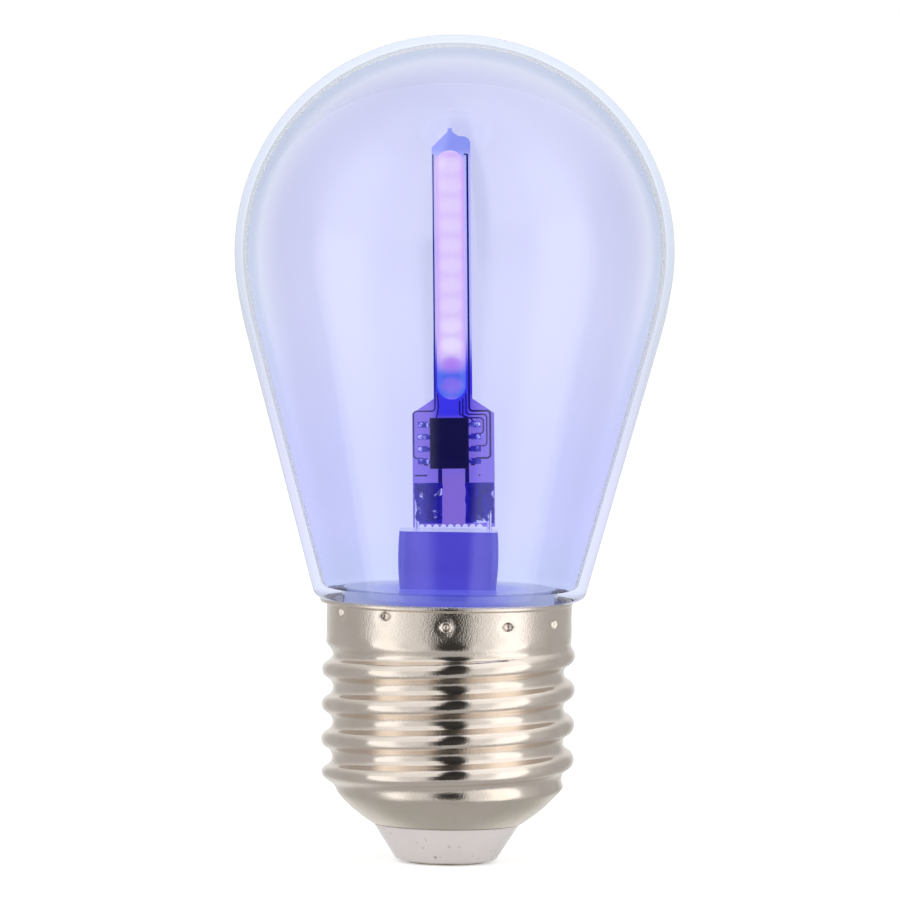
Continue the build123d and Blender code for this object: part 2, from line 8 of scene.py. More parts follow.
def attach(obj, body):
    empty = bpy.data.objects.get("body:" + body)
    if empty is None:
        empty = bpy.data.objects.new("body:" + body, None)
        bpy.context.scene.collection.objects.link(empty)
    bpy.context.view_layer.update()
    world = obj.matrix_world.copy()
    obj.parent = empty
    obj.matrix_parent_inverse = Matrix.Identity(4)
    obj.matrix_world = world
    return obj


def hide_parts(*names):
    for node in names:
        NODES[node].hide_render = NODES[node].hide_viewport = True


bl_info = {
    "name": "LED globe bulb",
    "version": (1, 0, 0),
    "blender": (4, 5, 0),
    "location": "3D View > Sidebar > Bulb",
    "description": "Dresses the clear globe bulb, its lit board and its screw cap",
    "category": "Object",
}

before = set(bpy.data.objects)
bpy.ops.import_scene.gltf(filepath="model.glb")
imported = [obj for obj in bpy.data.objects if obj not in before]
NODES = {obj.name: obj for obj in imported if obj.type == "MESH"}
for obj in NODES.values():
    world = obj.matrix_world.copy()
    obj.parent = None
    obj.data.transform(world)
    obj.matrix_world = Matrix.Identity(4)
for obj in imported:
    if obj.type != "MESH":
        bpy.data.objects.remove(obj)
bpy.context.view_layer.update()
MM = 0.001
MERGE = 0.000002
BLACK = (0.0, 0.0, 0.0, 1.0)
WHITE = (1.0, 1.0, 1.0, 1.0)
# Painted shade: metal painted dark, so that it shows dark instead of reflecting the studio.
METAL_SHADE = (0.014, 0.012, 0.17, 1.0)
CRIMPS = 12
CRIMP_STEP = math.radians(360 / CRIMPS)
JAW_SPLIT = -0.26
STANDOFF = 0.1 * MM
SOLDER_SEED = 1795713778


def tone(red, green, blue):
    """A linear colour from screen values between 0 and 255."""
    parts = []
    for part in (red, green, blue):
        share = part / 255
        parts.append(share / 12.92 if share <= 0.04045 else ((share + 0.055) / 1.055) ** 2.4)
    return (*parts, 1.0)


def length(label, words, value):
    return bpy.props.FloatProperty(
        name=label, description=words, default=value * MM, unit="LENGTH", precision=5
    )


def angle(label, words, value):
    return bpy.props.FloatProperty(
        name=label, description=words, default=math.radians(value), subtype="ANGLE"
    )


def count(label, words, value):
    return bpy.props.IntProperty(name=label, description=words, default=value, min=1)


def plain(label, words, value):
    return bpy.props.FloatProperty(name=label, description=words, default=value, min=0.0)


def colour(label, words, value):
    return bpy.props.FloatVectorProperty(
        name=label, description=words, default=value, size=4, subtype="COLOR", min=0.0, max=4.0
    )


class GlobeSizes(bpy.types.PropertyGroup):
    """Sizes of the clear globe and its neck, and its colours, painted light from the blue glow
    inside and from the angle of view.
    """

    radius: length("Ball radius", "Outer radius of the ball", 22.8)
    ball_level: length("Ball level", "Height of the ball's widest place", 63.45)
    crown: length("Crown", "Height of the top over the widest place", 22.5)
    crown_radius: length("Crown radius", "Radius of the slightly flat top", 23.25)
    wall: length("Wall", "Thickness of the wall", 1.3)
    blend_radius: length("Blend radius", "Radius of the long curve under the ball", 45.6)
    blend_start: angle("Blend start", "Where the long curve leaves the ball", 8.14)
    taper: angle("Taper", "Slope of the straight sides", 15.27)
    rim_level: length("Rim level", "Height of the shoulder that sits on the cap", 27.35)
    shoulder: length("Shoulder", "Rounding of the shoulder", 1.2)
    floor_wall: length("Floor wall", "Thickness of the floor ring", 1.2)
    floor_edge: length("Floor edge", "Rounding between wall and floor", 0.8)
    neck_radius: length("Neck radius", "Outer radius of the neck inside the cap", 12.45)
    neck_wall: length("Neck wall", "Thickness of the neck", 1.45)
    neck_depth: length("Neck depth", "Length of the neck inside the cap", 3.4)
    # Painted light: the blue glow of the lit board seen through the wall, bluer towards the foot,
    # paler where the wall turns away, and painted shade along the rim.
    tint: colour("Tint", "Colour that one wall gives", (0.80, 0.815, 0.978, 1.0))
    low_tint: colour("Low tint", "Colour of the wall near the foot", (0.725, 0.745, 0.965, 1.0))
    foot_tint: colour("Foot tint", "Colour of the wall over its shoulder", (0.69, 0.73, 0.92, 1.0))
    edge_tint: colour("Edge tint", "The wall where it turns away", (0.875, 0.90, 0.975, 1.0))
    rim_tint: colour("Rim tint", "The wall seen along its thickness", (0.68, 0.74, 0.87, 1.0))


class CapSizes(bpy.types.PropertyGroup):
    """Sizes and finish of the rolled screw cap and the base."""

    height: length("Height", "Height of the rim", 27.3)
    sheet: length("Sheet", "Thickness of the sheet", 0.3)
    skirt_radius: length("Skirt radius", "Outer radius of the plain skirt", 12.85)
    flare: length("Flare", "How far the rim stands out", 0.4)
    flare_swing: length("Flare swing", "How much the flare differs from side to side", 0.3)
    band: length("Band", "Height of the rim band", 0.42)
    crest_radius: length("Crest radius", "Radius over the thread", 13.15)
    depth: length("Depth", "Depth of the thread", 1.15)
    pitch: length("Pitch", "Height of one turn", 3.629)
    crest_level: length("Crest level", "Height of a crest on the right side", 18.12)
    thread_top: length("Thread top", "Where the thread begins under the skirt", 23.4)
    thread_fade: length("Thread fade", "Height over which the thread fades in", 2.0)
    foot_level: length("Foot level", "Height of the cap's foot", 4.1)
    foot_radius: length("Foot radius", "Radius of the cap's foot", 7.85)
    foot_slope: plain("Foot slope", "Run of the domed foot for its rise, at the edge", 1.52)
    foot_curve: plain("Foot curve", "How fast the dome steepens, per metre", 118.0)
    foot_bend: length("Foot bend", "Rounding between dome and thread", 0.15)
    thread_end: length("Thread end", "Where the thread ends over the foot", 3.9)
    foot_fade: length("Foot fade", "Height over which the thread fades out", 2.6)
    crimp_turn: angle("Crimp turn", "Turn of the front crimp mark", -1.5)
    crimp_level: length("Crimp level", "Height of the crimp marks", 25.38)
    jaw_step: length("Jaw step", "How much higher the left marks sit", 0.9)
    crimp_radius: length("Crimp radius", "Radius of the punch", 0.48)
    crimp_depth: length("Crimp depth", "Depth of a mark", 0.4)
    dent_depth: length("Dent depth", "Depth of the dent round a mark", 0.07)
    metal: colour("Metal", "Colour of the plated sheet", (0.89, 0.795, 0.72, 1.0))
    # Duller plating in the clouds, and painted shade on the foot.
    groove: colour("Groove", "Colour of the duller plating", (0.78, 0.705, 0.585, 1.0))


class BaseSizes(bpy.types.PropertyGroup):
    """Sizes and finish of the insulator, the centre contact and what leads to it."""

    tip_radius: length("Tip radius", "Radius of the insulator's foot", 5.2)
    collar_radius: length("Collar radius", "Radius of the insulator under the cap's edge", 7.6)
    fit: length("Fit", "Gap round the insulator", 0.08)
    top_level: length("Top level", "Top of the insulator inside the cap", 7.0)
    dish: length("Dish", "Depth of the hollow in its top", 1.6)
    contact_radius: length("Contact radius", "Radius of the centre contact", 4.3)
    contact_height: length("Contact height", "Thickness of the centre contact", 0.8)
    proud: length("Proud", "How far the contact stands below the insulator", 0.27)
    shank_radius: length("Shank radius", "Radius of the contact's shank", 1.2)
    glaze: colour("Glaze", "Colour of the insulator", tone(228, 221, 219))
    speck: colour("Speck", "Dark specks in the glaze", (0.42, 0.39, 0.38, 1.0))
    contact: colour("Contact", "Colour of the centre contact", (0.52, 0.45, 0.36, 1.0))
    lead: colour("Lead", "Colour of the lead to the contact", (0.68, 0.66, 0.63, 1.0))
    resistor: colour("Resistor", "Colour of the resistor", tone(196, 168, 120))
    resistor_ring: colour("Resistor ring", "Colour of its rings", tone(120, 60, 34))


class BoardSizes(bpy.types.PropertyGroup):
    """Sizes and colours of the lit board, its chips and the stem."""

    foot_level: length("Foot level", "Height of the board's foot", 34.9)
    offset: length("Offset", "Board's place to the right of the axis", 0.36)
    lean: angle("Lean", "Lean of the board to the left", 1.3)
    face: length("Face", "Distance of the copper's face from the middle", 0.47)
    bead_top: length("Bead top", "Top of the chip strip on the board", 39.05)
    bead_length: length("Bead length", "Length of the chip strip", 25.8)
    bead_width: length("Bead width", "Width of the chip strip", 2.96)
    bead_height: length("Bead height", "Height of the gel over the chips", 0.9)
    bead_offset: length("Bead offset", "Place of the strip across the board", -0.14)
    die_count: count("Chips", "Number of light chips", 12)
    die_pitch: length("Chip pitch", "Distance between chips", 2.07)
    ic_width: length("Driver width", "Width of the driver's body", 4.05)
    ic_length: length("Driver length", "Length of the driver's body", 5.3)
    ic_height: length("Driver height", "Height of the driver's body", 1.4)
    ic_offset: length("Driver offset", "Place of the driver across the board", -0.42)
    ic_level: length("Driver level", "Place of the driver along the board", 8.76)
    lead_pitch: length("Lead pitch", "Distance between the driver's leads", 1.27)
    leads: count("Leads", "Leads on each side", 4)
    lead_span: length("Lead span", "Width over the leads", 5.9)
    pad_side: length("Pad side", "Place of a wire pad across the board", 2.68)
    pad_level: length("Pad level", "Place of a wire pad along the board", 2.48)
    pad_width: length("Pad width", "Width of a wire pad", 2.9)
    pad_height: length("Pad height", "Length of a wire pad", 4.25)
    wire_side: length("Wire side", "Place of a lead wire across the board", 3.75)
    mask: colour("Mask", "Solder mask of the lit board", tone(134, 114, 226))
    mask_middle: colour("Mask middle", "Pinker mask between the wire pads", tone(144, 114, 212))
    # Painted light: pools of the chips' glow on the mask.
    mask_strip: colour("Mask strip", "Pale mask beside the chips", tone(196, 196, 252))
    mask_low: colour("Mask low", "Deep blue under the last chips", tone(58, 48, 232))
    mask_tip: colour("Mask tip", "Blue tip over the chips", tone(150, 162, 241))
    copper: colour("Copper", "Lines under the blue light", tone(14, 8, 98))
    copper_clouds: colour("Copper clouds", "Paler places on the lines", tone(24, 18, 122))
    chip_light: colour("Chip light", "Light over a chip", tone(255, 240, 255))
    chip_clouds: colour("Chip clouds", "Pinker places on a chip", tone(255, 235, 255))
    gel: colour("Gel", "Gel between the chips", tone(236, 212, 249))
    fringe: colour("Fringe", "Pink fringe of the gel", tone(212, 150, 244))
    low_gel: colour("Low gel", "Gel below the last chip", tone(74, 108, 236))
    low_chip: colour("Low chip", "Light over the lowest chips", tone(190, 120, 240))
    resin: colour("Resin", "Stem block", tone(88, 76, 204))
    # Painted shade towards the block's sides, painted light on its upper face.
    resin_side: colour("Resin side", "Stem block towards its sides", tone(58, 52, 190))
    resin_clouds: colour("Resin clouds", "Paler places in the stem block", tone(100, 90, 224))
    resin_top: colour("Resin top", "Upper face of the stem block", tone(206, 212, 248))
    # Painted light: a pool of blue glow on the plate, fading towards the neck.
    plug: colour("Plug", "Plate near the stem block", tone(104, 106, 214))
    plug_edge: colour("Plug edge", "Plate towards the neck", tone(178, 186, 214))
    epoxy: colour("Epoxy", "Driver's body", tone(10, 5, 72))
    epoxy_clouds: colour("Epoxy clouds", "Darker places on the body", tone(8, 4, 62))
    # Painted glints: these bright colours show only at random spots on metal that is painted dark.
    pad_tin: colour("Pad tin", "Bright places of the pads", (0.62, 0.62, 0.9, 1.0))
    pad_glow: colour("Pad glow", "Pads in the blue light", tone(44, 34, 158))
    lead_tin: colour("Lead tin", "Bright places of the leads", (0.9, 0.9, 1.0, 1.0))
    lead_glow: colour("Lead glow", "Leads in the blue light", tone(40, 32, 150))
    solder: colour("Solder", "Bright places of solder and wires", (0.95, 0.95, 1.0, 1.0))
    joint_glow: colour("Joint glow", "Joints in the blue light", tone(50, 42, 170))
    pool_glow: colour("Pool glow", "Solder pools in the blue light", tone(26, 16, 140))
    wire_glow: colour("Wire glow", "Wires in the blue light", tone(36, 28, 140))


class StageSettings(bpy.types.PropertyGroup):
    """Camera and plain studio light."""

    distance: length("Distance", "Camera to the bulb", 1000.0)
    elevation: angle("Elevation", "Height of the camera over the horizon", 3.45)
    roll: angle("Roll", "Turn of the camera about its own line of sight", 0.825)
    lens: plain("Lens", "Focal length in millimetres", 385.7)
    aim_side: length("Aim side", "Point aimed at, across", -0.18)
    aim_level: length("Aim level", "Point aimed at, height", 42.86)
    world: plain("World", "Strength of the plain light all round", 0.72)
    softbox: plain("Softbox", "Strength of the side lights", 1.0)
    tent: length("Tent", "Radius of the studio", 800.0)
    tent_level: length("Tent level", "Height of the studio's horizon", 45.0)


GROUPS = {
    "bulb_globe": GlobeSizes,
    "bulb_cap": CapSizes,
    "bulb_base": BaseSizes,
    "bulb_board": BoardSizes,
    "bulb_stage": StageSettings,
}


class Graph:
    """A node tree, filled one node at a time."""

    def __init__(self, tree):
        self.tree = tree

    def add(self, kind, inputs=None, **settings):
        node = self.tree.nodes.new(kind)
        for name, value in settings.items():
            setattr(node, name, value)
        for name, value in (inputs or {}).items():
            self.feed(node.inputs[name], value)
        return node

    def feed(self, socket, value):
        if isinstance(value, Number):
            value = value.socket
        if isinstance(value, bpy.types.NodeSocket):
            self.tree.links.new(value, socket)
        else:
            socket.default_value = value

    def number(self, socket):
        return Number(self, socket)

    def constant(self, value):
        node = self.add("ShaderNodeValue")
        node.outputs[0].default_value = value
        return Number(self, node.outputs[0])

    def mix(self, factor, first, second, blend="MIX"):
        node = self.add("ShaderNodeMix", data_type="RGBA", blend_type=blend)
        self.feed(node.inputs[0], factor)
        self.feed(node.inputs[6], first)
        self.feed(node.inputs[7], second)
        return node.outputs[2]


class Number:
    """A number inside a node tree. Plain arithmetic on it adds Math nodes."""

    def __init__(self, graph, socket):
        self.graph = graph
        self.socket = socket

    def math(self, operation, *others, clamp=False):
        node = self.graph.add("ShaderNodeMath", operation=operation, use_clamp=clamp)
        for slot, value in zip(node.inputs, (self, *others)):
            self.graph.feed(slot, value)
        return Number(self.graph, node.outputs[0])

    def __add__(self, other):
        return self.math("ADD", other)

    __radd__ = __add__

    def __sub__(self, other):
        return self.math("SUBTRACT", other)

    def __rsub__(self, other):
        return self.math("MULTIPLY_ADD", -1.0, other)

    def __mul__(self, other):
        return self.math("MULTIPLY", other)

    __rmul__ = __mul__

    def __truediv__(self, other):
        return self.math("DIVIDE", other)

    def clamped(self):
        return self.math("ADD", 0.0, clamp=True)

    def smooth(self):
        """Eases from 0 to 1 over its own 0 to 1."""
        held = self.clamped()
        return held * held * (3.0 - 2.0 * held)

    def above(self, other):
        return self.math("GREATER_THAN", other)

    def least(self, other):
        return self.math("MINIMUM", other)

    def most(self, other):
        return self.math("MAXIMUM", other)

    def wrapped(self, period):
        return self.math("FLOORED_MODULO", period)

    def root(self):
        return self.most(0.0).math("SQRT")

    def sin(self):
        return self.math("SINE")

    def cos(self):
        return self.math("COSINE")


def choose(test, yes, no):
    """One of two numbers, by a test that is 1 or 0."""
    return no + (yes - no) * test


def new_geometry_tree(name, sockets):
    """A modifier tree with named inputs; gives its graph, its inputs and its end."""
    tree = bpy.data.node_groups.new(name, "GeometryNodeTree")
    tree.interface.new_socket("Geometry", in_out="INPUT", socket_type="NodeSocketGeometry")
    for label, kind in sockets.items():
        tree.interface.new_socket(label, in_out="INPUT", socket_type="NodeSocket" + kind)
    tree.interface.new_socket("Geometry", in_out="OUTPUT", socket_type="NodeSocketGeometry")
    graph = Graph(tree)
    return graph, graph.add("NodeGroupInput").outputs, graph.add("NodeGroupOutput").inputs[0]


def set_position(graph, geometry, how, vector):
    """Geometry whose points are put at a vector ("Position") or moved by it ("Offset")."""
    given = {"Geometry": geometry, how: vector.outputs[0]}
    return graph.add("GeometryNodeSetPosition", given).outputs[0]


def end_tree(graph, geometry, material, end):
    """Makes all copies real, gives them their material and ends the tree."""
    real = graph.add("GeometryNodeRealizeInstances", {"Geometry": geometry})
    finish = {"Geometry": real.outputs[0], "Material": material}
    graph.feed(end, graph.add("GeometryNodeSetMaterial", finish).outputs[0])


def run_tree(mesh, tree, values):
    """The plain mesh that a tree makes of a mesh with these inputs."""
    carrier = bpy.data.objects.new("carrier", mesh)
    bpy.context.scene.collection.objects.link(carrier)
    modifier = carrier.modifiers.new("nodes", "NODES")
    modifier.node_group = tree
    for item in tree.interface.items_tree:
        if item.in_out == "INPUT" and item.name in values:
            modifier[item.identifier] = values[item.name]
    graph = bpy.context.evaluated_depsgraph_get()
    made = bpy.data.meshes.new_from_object(carrier.evaluated_get(graph), depsgraph=graph)
    bpy.data.objects.remove(carrier)
    return made


def finish_mesh(mesh, sharp):
    """Joins what lies together, turns the faces outward and keeps edges above an angle sharp."""
    work = bmesh.new()
    work.from_mesh(mesh)
    bmesh.ops.remove_doubles(work, verts=work.verts, dist=MERGE)
    bmesh.ops.dissolve_degenerate(work, edges=work.edges, dist=MERGE / 4)
    bmesh.ops.recalc_face_normals(work, faces=work.faces)
    work.to_mesh(mesh)
    work.free()
    mesh.shade_smooth()
    mesh.set_sharp_from_angle(angle=math.radians(sharp))
    return mesh


def mesh_of(name, points, faces, sharp=40):
    mesh = bpy.data.meshes.new(name)
    mesh.from_pydata(points, [], faces)
    return finish_mesh(mesh, sharp)


def place(name, mesh, material, slot, *replaced):
    """A finished piece of the bulb, riding on its body."""
    piece = bpy.data.objects.new(name, mesh)
    bpy.context.scene.collection.objects.link(piece)
    mesh.materials.clear()
    mesh.materials.append(material)
    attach(piece, "root")
    if replaced:
        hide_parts(*replaced)
    return piece


def dress(node, material):
    """Gives a kept CAD node its finish."""
    materials = NODES[node].data.materials
    if not materials:
        materials.append(material)
    for index in range(len(materials)):
        materials[index] = material


def arc(centre, radius, start, end, steps):
    """Points of (radius, level) along an arc, angles in degrees."""
    points = []
    for i in range(steps + 1):
        turn = math.radians(start + (end - start) * i / steps)
        points.append((centre[0] + radius * math.cos(turn), centre[1] + radius * math.sin(turn)))
    return points


def rounded_corners(points, radii, steps=6):
    """A closed outline with some of its corners rounded."""
    result = []
    for i, point in enumerate(points):
        here = Vector(point)
        radius = radii.get(i, 0)
        if not radius:
            result.append(tuple(here))
            continue
        before = (Vector(points[i - 1]) - here).normalized()
        after = (Vector(points[(i + 1) % len(points)]) - here).normalized()
        half = before.angle(after) / 2
        reach = radius / math.tan(half)
        middle = here + (before + after).normalized() * radius / math.sin(half)
        first = here + before * reach - middle
        last = here + after * reach - middle
        for step in range(steps + 1):
            spoke = first.lerp(last, step / steps).normalized() * radius
            result.append(tuple(middle + spoke))
    return result


def turned_points(profile, steps, shape=None, closed=True):
    """Points and faces of an outline of (radius, level) turned about the upright axis."""
    size = len(profile)
    strips = size if closed else size - 1
    points = []
    for i in range(steps):
        turn = math.tau * i / steps
        for radius, level in profile:
            if shape:
                radius = shape(radius, level, turn)
            points.append((radius * math.cos(turn), radius * math.sin(turn), level))
    faces = []
    for i in range(steps):
        here = i * size
        there = (i + 1) % steps * size
        for j in range(strips):
            k = (j + 1) % size
            faces.append((here + j, there + j, there + k, here + k))
    return points, faces


def stacked_faces(rings, size):
    """Faces of rings of points laid on each other, the first one closed."""
    faces = [tuple(range(size))]
    for i in range(rings - 1):
        for j in range(size):
            k = (j + 1) % size
            faces.append((i * size + j, i * size + k, (i + 1) * size + k, (i + 1) * size + j))
    return faces


def board_matrix(board):
    """From the upright board to its leaning place in the bulb."""
    place_on = Matrix.Translation((board.offset, 0, board.foot_level))
    return place_on @ Matrix.Rotation(-board.lean, 4, "Y")


def new_material(name, base, **sockets):
    """A material with one Principled shader; keyword names are its sockets with _ for a space."""
    material = bpy.data.materials.new(name)
    material.use_nodes = True
    graph = Graph(material.node_tree)
    shader = material.node_tree.nodes["Principled BSDF"]
    shader.inputs["Base Color"].default_value = base
    for socket, value in sockets.items():
        shader.inputs[socket.replace("_", " ")].default_value = value
    return material, graph, shader.inputs


def new_shader_group(name, inputs, outputs):
    """A shader group of plain numbers; gives its graph, its inputs and its outputs."""
    tree = bpy.data.node_groups.new(name, "ShaderNodeTree")
    for label, value in inputs.items():
        socket = tree.interface.new_socket(label, in_out="INPUT", socket_type="NodeSocketFloat")
        socket.default_value = value
    for label in outputs:
        tree.interface.new_socket(label, in_out="OUTPUT", socket_type="NodeSocketFloat")
    graph = Graph(tree)
    return graph, graph.add("NodeGroupInput").outputs, graph.add("NodeGroupOutput").inputs


def object_place(graph):
    """The three Object coordinates as numbers."""
    where = graph.add("ShaderNodeTexCoord").outputs["Object"]
    return [graph.number(part) for part in graph.add("ShaderNodeSeparateXYZ", {0: where}).outputs]


def upward(graph):
    """How far a face looks up, from -1 to 1."""
    normal = graph.add("ShaderNodeNewGeometry").outputs["Normal"]
    return graph.number(graph.add("ShaderNodeSeparateXYZ", {0: normal}).outputs["Z"])


def between(value, low, high):
    """Eases from 0 to 1 while a number goes from one value to another."""
    return ((value - low) / (high - low)).smooth()


def grain_group():
    """Fine grain and larger clouds on Object coordinates."""
    name = "grain_and_clouds"
    if name in bpy.data.node_groups:
        return bpy.data.node_groups[name]
    scales = {"Grain Scale": 4000.0, "Cloud Scale": 300.0}
    graph, given, out = new_shader_group(name, scales, ("Grain", "Clouds"))
    where = graph.add("ShaderNodeTexCoord").outputs["Object"]
    contrast = 2.4
    cut = 0.7
    small = {"Vector": where, "Scale": given["Grain Scale"], "Detail": 3.0}
    large = {"Vector": where, "Scale": given["Cloud Scale"], "Detail": 4.0}
    fine = graph.add("ShaderNodeTexNoise", small)
    wide = graph.add("ShaderNodeTexNoise", large)
    spread = graph.number(wide.outputs[0]) * contrast - cut
    graph.feed(out["Grain"], fine.outputs[0])
    graph.feed(out["Clouds"], spread.clamped())
    return graph.tree


def level_group():
    """Eases from 0 at one height to 1 at another."""
    name = "level_fade"
    if name in bpy.data.node_groups:
        return bpy.data.node_groups[name]
    graph, given, out = new_shader_group(name, {"From": 0.0, "To": 0.1}, ("Mask",))
    level = object_place(graph)[2]
    mask = between(level, graph.number(given["From"]), graph.number(given["To"]))
    graph.feed(out["Mask"], mask)
    return graph.tree


def grain(graph, fine, wide):
    """Fine grain and clouds, as numbers from 0 to 1."""
    node = graph.add("ShaderNodeGroup", node_tree=grain_group())
    graph.feed(node.inputs["Grain Scale"], fine)
    graph.feed(node.inputs["Cloud Scale"], wide)
    return graph.number(node.outputs["Grain"]), graph.number(node.outputs["Clouds"])


def fade(graph, low, high):
    """Eases from 0 to 1 between two heights, given in millimetres."""
    node = graph.add("ShaderNodeGroup", node_tree=level_group())
    graph.feed(node.inputs["From"], low * MM)
    graph.feed(node.inputs["To"], high * MM)
    return graph.number(node.outputs["Mask"])


def bump(graph, sockets, height, strength, distance):
    given = {"Height": height, "Strength": strength, "Distance": distance}
    graph.feed(sockets["Normal"], graph.add("ShaderNodeBump", given).outputs[0])


def globe_material(sizes):
    """Weakly bending clear plastic under a glossy skin, tinted by the light inside, with a painted
    paler edge and painted shade at the rim.
    """
    material, graph, sockets = new_material(
        "clear_globe",
        sizes.tint,
        Roughness=0.0,
        IOR=1.02,
        Transmission_Weight=1.0,
        Coat_Weight=1.0,
        Coat_Roughness=0.0,
        Coat_IOR=1.6,
    )
    # Painted by the angle of view: paler where the wall turns away, painted shade at the rim.
    facing = graph.number(graph.add("ShaderNodeLayerWeight", {"Blend": 0.5}).outputs["Facing"])
    edge = between(facing, 0.38, 0.66)
    rim = between(facing, 0.64, 0.72)
    # Painted blue glow, stronger towards the foot.
    below_ball = fade(graph, 64, 48)
    taper = fade(graph, 60, 36)
    foot = fade(graph, 36, 29)
    tint = graph.mix(edge * (1.0 - 0.8 * below_ball), sizes.tint, sizes.edge_tint)
    tint = graph.mix(rim, tint, sizes.rim_tint)
    tint = graph.mix(taper, tint, sizes.low_tint)
    graph.feed(sockets["Base Color"], graph.mix(foot, tint, sizes.foot_tint))
    graph.feed(sockets["Coat Weight"], 1.0 - 0.85 * edge)
    return material


def metal_material(cap):
    """Plating, duller in clouds and with painted shade towards the foot: smooth on the thread,
    grainy under crests, on skirt and foot.
    """
    material, graph, sockets = new_material("nickel_cap", cap.metal, Metallic=1.0, Roughness=0.12)
    fine, clouds = grain(graph, fine=6000.0, wide=420.0)
    under = between(upward(graph), -0.05, -0.45)
    skirt = fade(graph, 23.2, 24.2)
    foot = fade(graph, 8.2, 7.0)
    rough = under.most(skirt).most(foot)
    # The foot's share is painted shade, darker towards the bottom of the cap.
    dull = (clouds * 0.5 + foot * 0.5).clamped()
    graph.feed(sockets["Base Color"], graph.mix(dull, cap.metal, cap.groove))
    graph.feed(sockets["Roughness"], 0.085 + 0.03 * clouds + 0.04 * rough)
    bump(graph, sockets, fine * (0.15 + 0.85 * rough), strength=0.5, distance=0.06 * MM)
    return material


def plain_metal(name, base, rough):
    """Metal outside the blue light, duller in clouds."""
    material, graph, sockets = new_material(name, base, Metallic=1.0)
    fine, clouds = grain(graph, fine=3000.0, wide=500.0)
    dull = darker(base, 0.72)
    graph.feed(sockets["Base Color"], graph.mix(clouds, base, dull))
    graph.feed(sockets["Roughness"], rough + 0.12 * clouds)
    bump(graph, sockets, fine, strength=0.2, distance=0.05 * MM)
    return material


def darker(base, share_left):
    return tuple(part * share_left for part in base[:3]) + (1.0,)


def new_lit(name, base, **sockets):
    """A material whose emission colour is taken as it is."""
    return new_material(name, base, Emission_Strength=1.0, **sockets)


def light_up(graph, sockets, shade):
    """A colour as the blue light inside shows it, with a dim share of it as plain paint."""
    graph.feed(sockets["Emission Color"], shade)
    graph.feed(sockets["Base Color"], graph.mix(0.85, shade, BLACK))


def lit_material(name, base, second, rough, fine_scale=2500.0, cloud_scale=350.0, **more):
    """Paint, gel or resin that the blue chips light from within."""
    material, graph, sockets = new_lit(name, base, Roughness=rough, **more)
    fine, clouds = grain(graph, fine_scale, cloud_scale)
    light_up(graph, sockets, graph.mix(clouds, base, second))
    bump(graph, sockets, fine, strength=0.15, distance=0.04 * MM)
    return material


def lit_metal(name, metal, glow, rough, glints, fine_scale=1500.0):
    """Metal in the blue light: painted deep blue shade, and painted glints where the clouds pass
    the two glint levels.
    """
    material, graph, sockets = new_lit(name, metal, Metallic=1.0)
    sockets["Emission Color"].default_value = glow
    fine, clouds = grain(graph, fine=fine_scale, wide=700.0)
    # Painted glints: random bright spots, the rest painted dark.
    bright = between(clouds, *glints)
    graph.feed(sockets["Base Color"], graph.mix(bright, METAL_SHADE, metal))
    graph.feed(sockets["Roughness"], rough + 0.1 * clouds)
    bump(graph, sockets, fine, strength=0.3, distance=0.05 * MM)
    return material


def board_place(graph, board):
    """Place across and along the leaning board."""
    where = graph.add("ShaderNodeTexCoord").outputs["Object"]
    turn = graph.add("ShaderNodeMapping", {"Vector": where}, vector_type="TEXTURE")
    turn.inputs["Location"].default_value = (board.offset, 0, board.foot_level)
    turn.inputs["Rotation"].default_value = (0, -board.lean, 0)
    spot = graph.add("ShaderNodeSeparateXYZ", {0: turn.outputs[0]}).outputs
    return graph.number(spot["X"]), graph.number(spot["Z"])


class BULB_OT_globe(bpy.types.Operator):
    """Make the clear globe with its neck"""

    bl_idname = "bulb.globe"
    bl_label = "Globe"

    def execute(self, context):
        sizes = context.scene.bulb_globe
        cap = context.scene.bulb_cap
        outer = globe_skin(sizes, 0, sizes.rim_level, sizes.shoulder)
        floor = sizes.rim_level + sizes.floor_wall
        inner = globe_skin(sizes, sizes.wall, floor, sizes.floor_edge)
        bore = sizes.neck_radius - sizes.neck_wall
        foot = sizes.rim_level - sizes.neck_depth
        neck_rows = 24
        neck_row = sizes.neck_depth / neck_rows
        neck = [(sizes.neck_radius, sizes.rim_level - neck_row * i) for i in range(neck_rows + 1)]
        profile = outer + neck + [(bore, foot), (bore, floor)] + inner[::-1]
        play = 0.05 * MM
        close = 0.01 * MM
        punch = cap.crimp_radius + cap.sheet + play
        centre = cap.skirt_radius + cap.crimp_radius - cap.crimp_depth

        def shape(radius, level, turn):
            """Dents the neck where the punch has pressed the cap into it."""
            if level > sizes.rim_level - close or abs(radius - sizes.neck_radius) > close:
                return radius
            off = (turn - cap.crimp_turn + CRIMP_STEP / 2) % CRIMP_STEP - CRIMP_STEP / 2
            mark = cap.crimp_level + (cap.jaw_step if math.cos(turn) < JAW_SPLIT else 0)
            away = (off * radius) ** 2 + (level - mark) ** 2
            if away > punch ** 2:
                return radius
            return min(radius, centre - math.sqrt(punch ** 2 - away))

        steps = 240
        mesh = mesh_of("globe_glass", *turned_points(profile, steps, shape), 50)
        place("globe_glass", mesh, globe_material(sizes), "clear_globe", "globe")
        return {"FINISHED"}


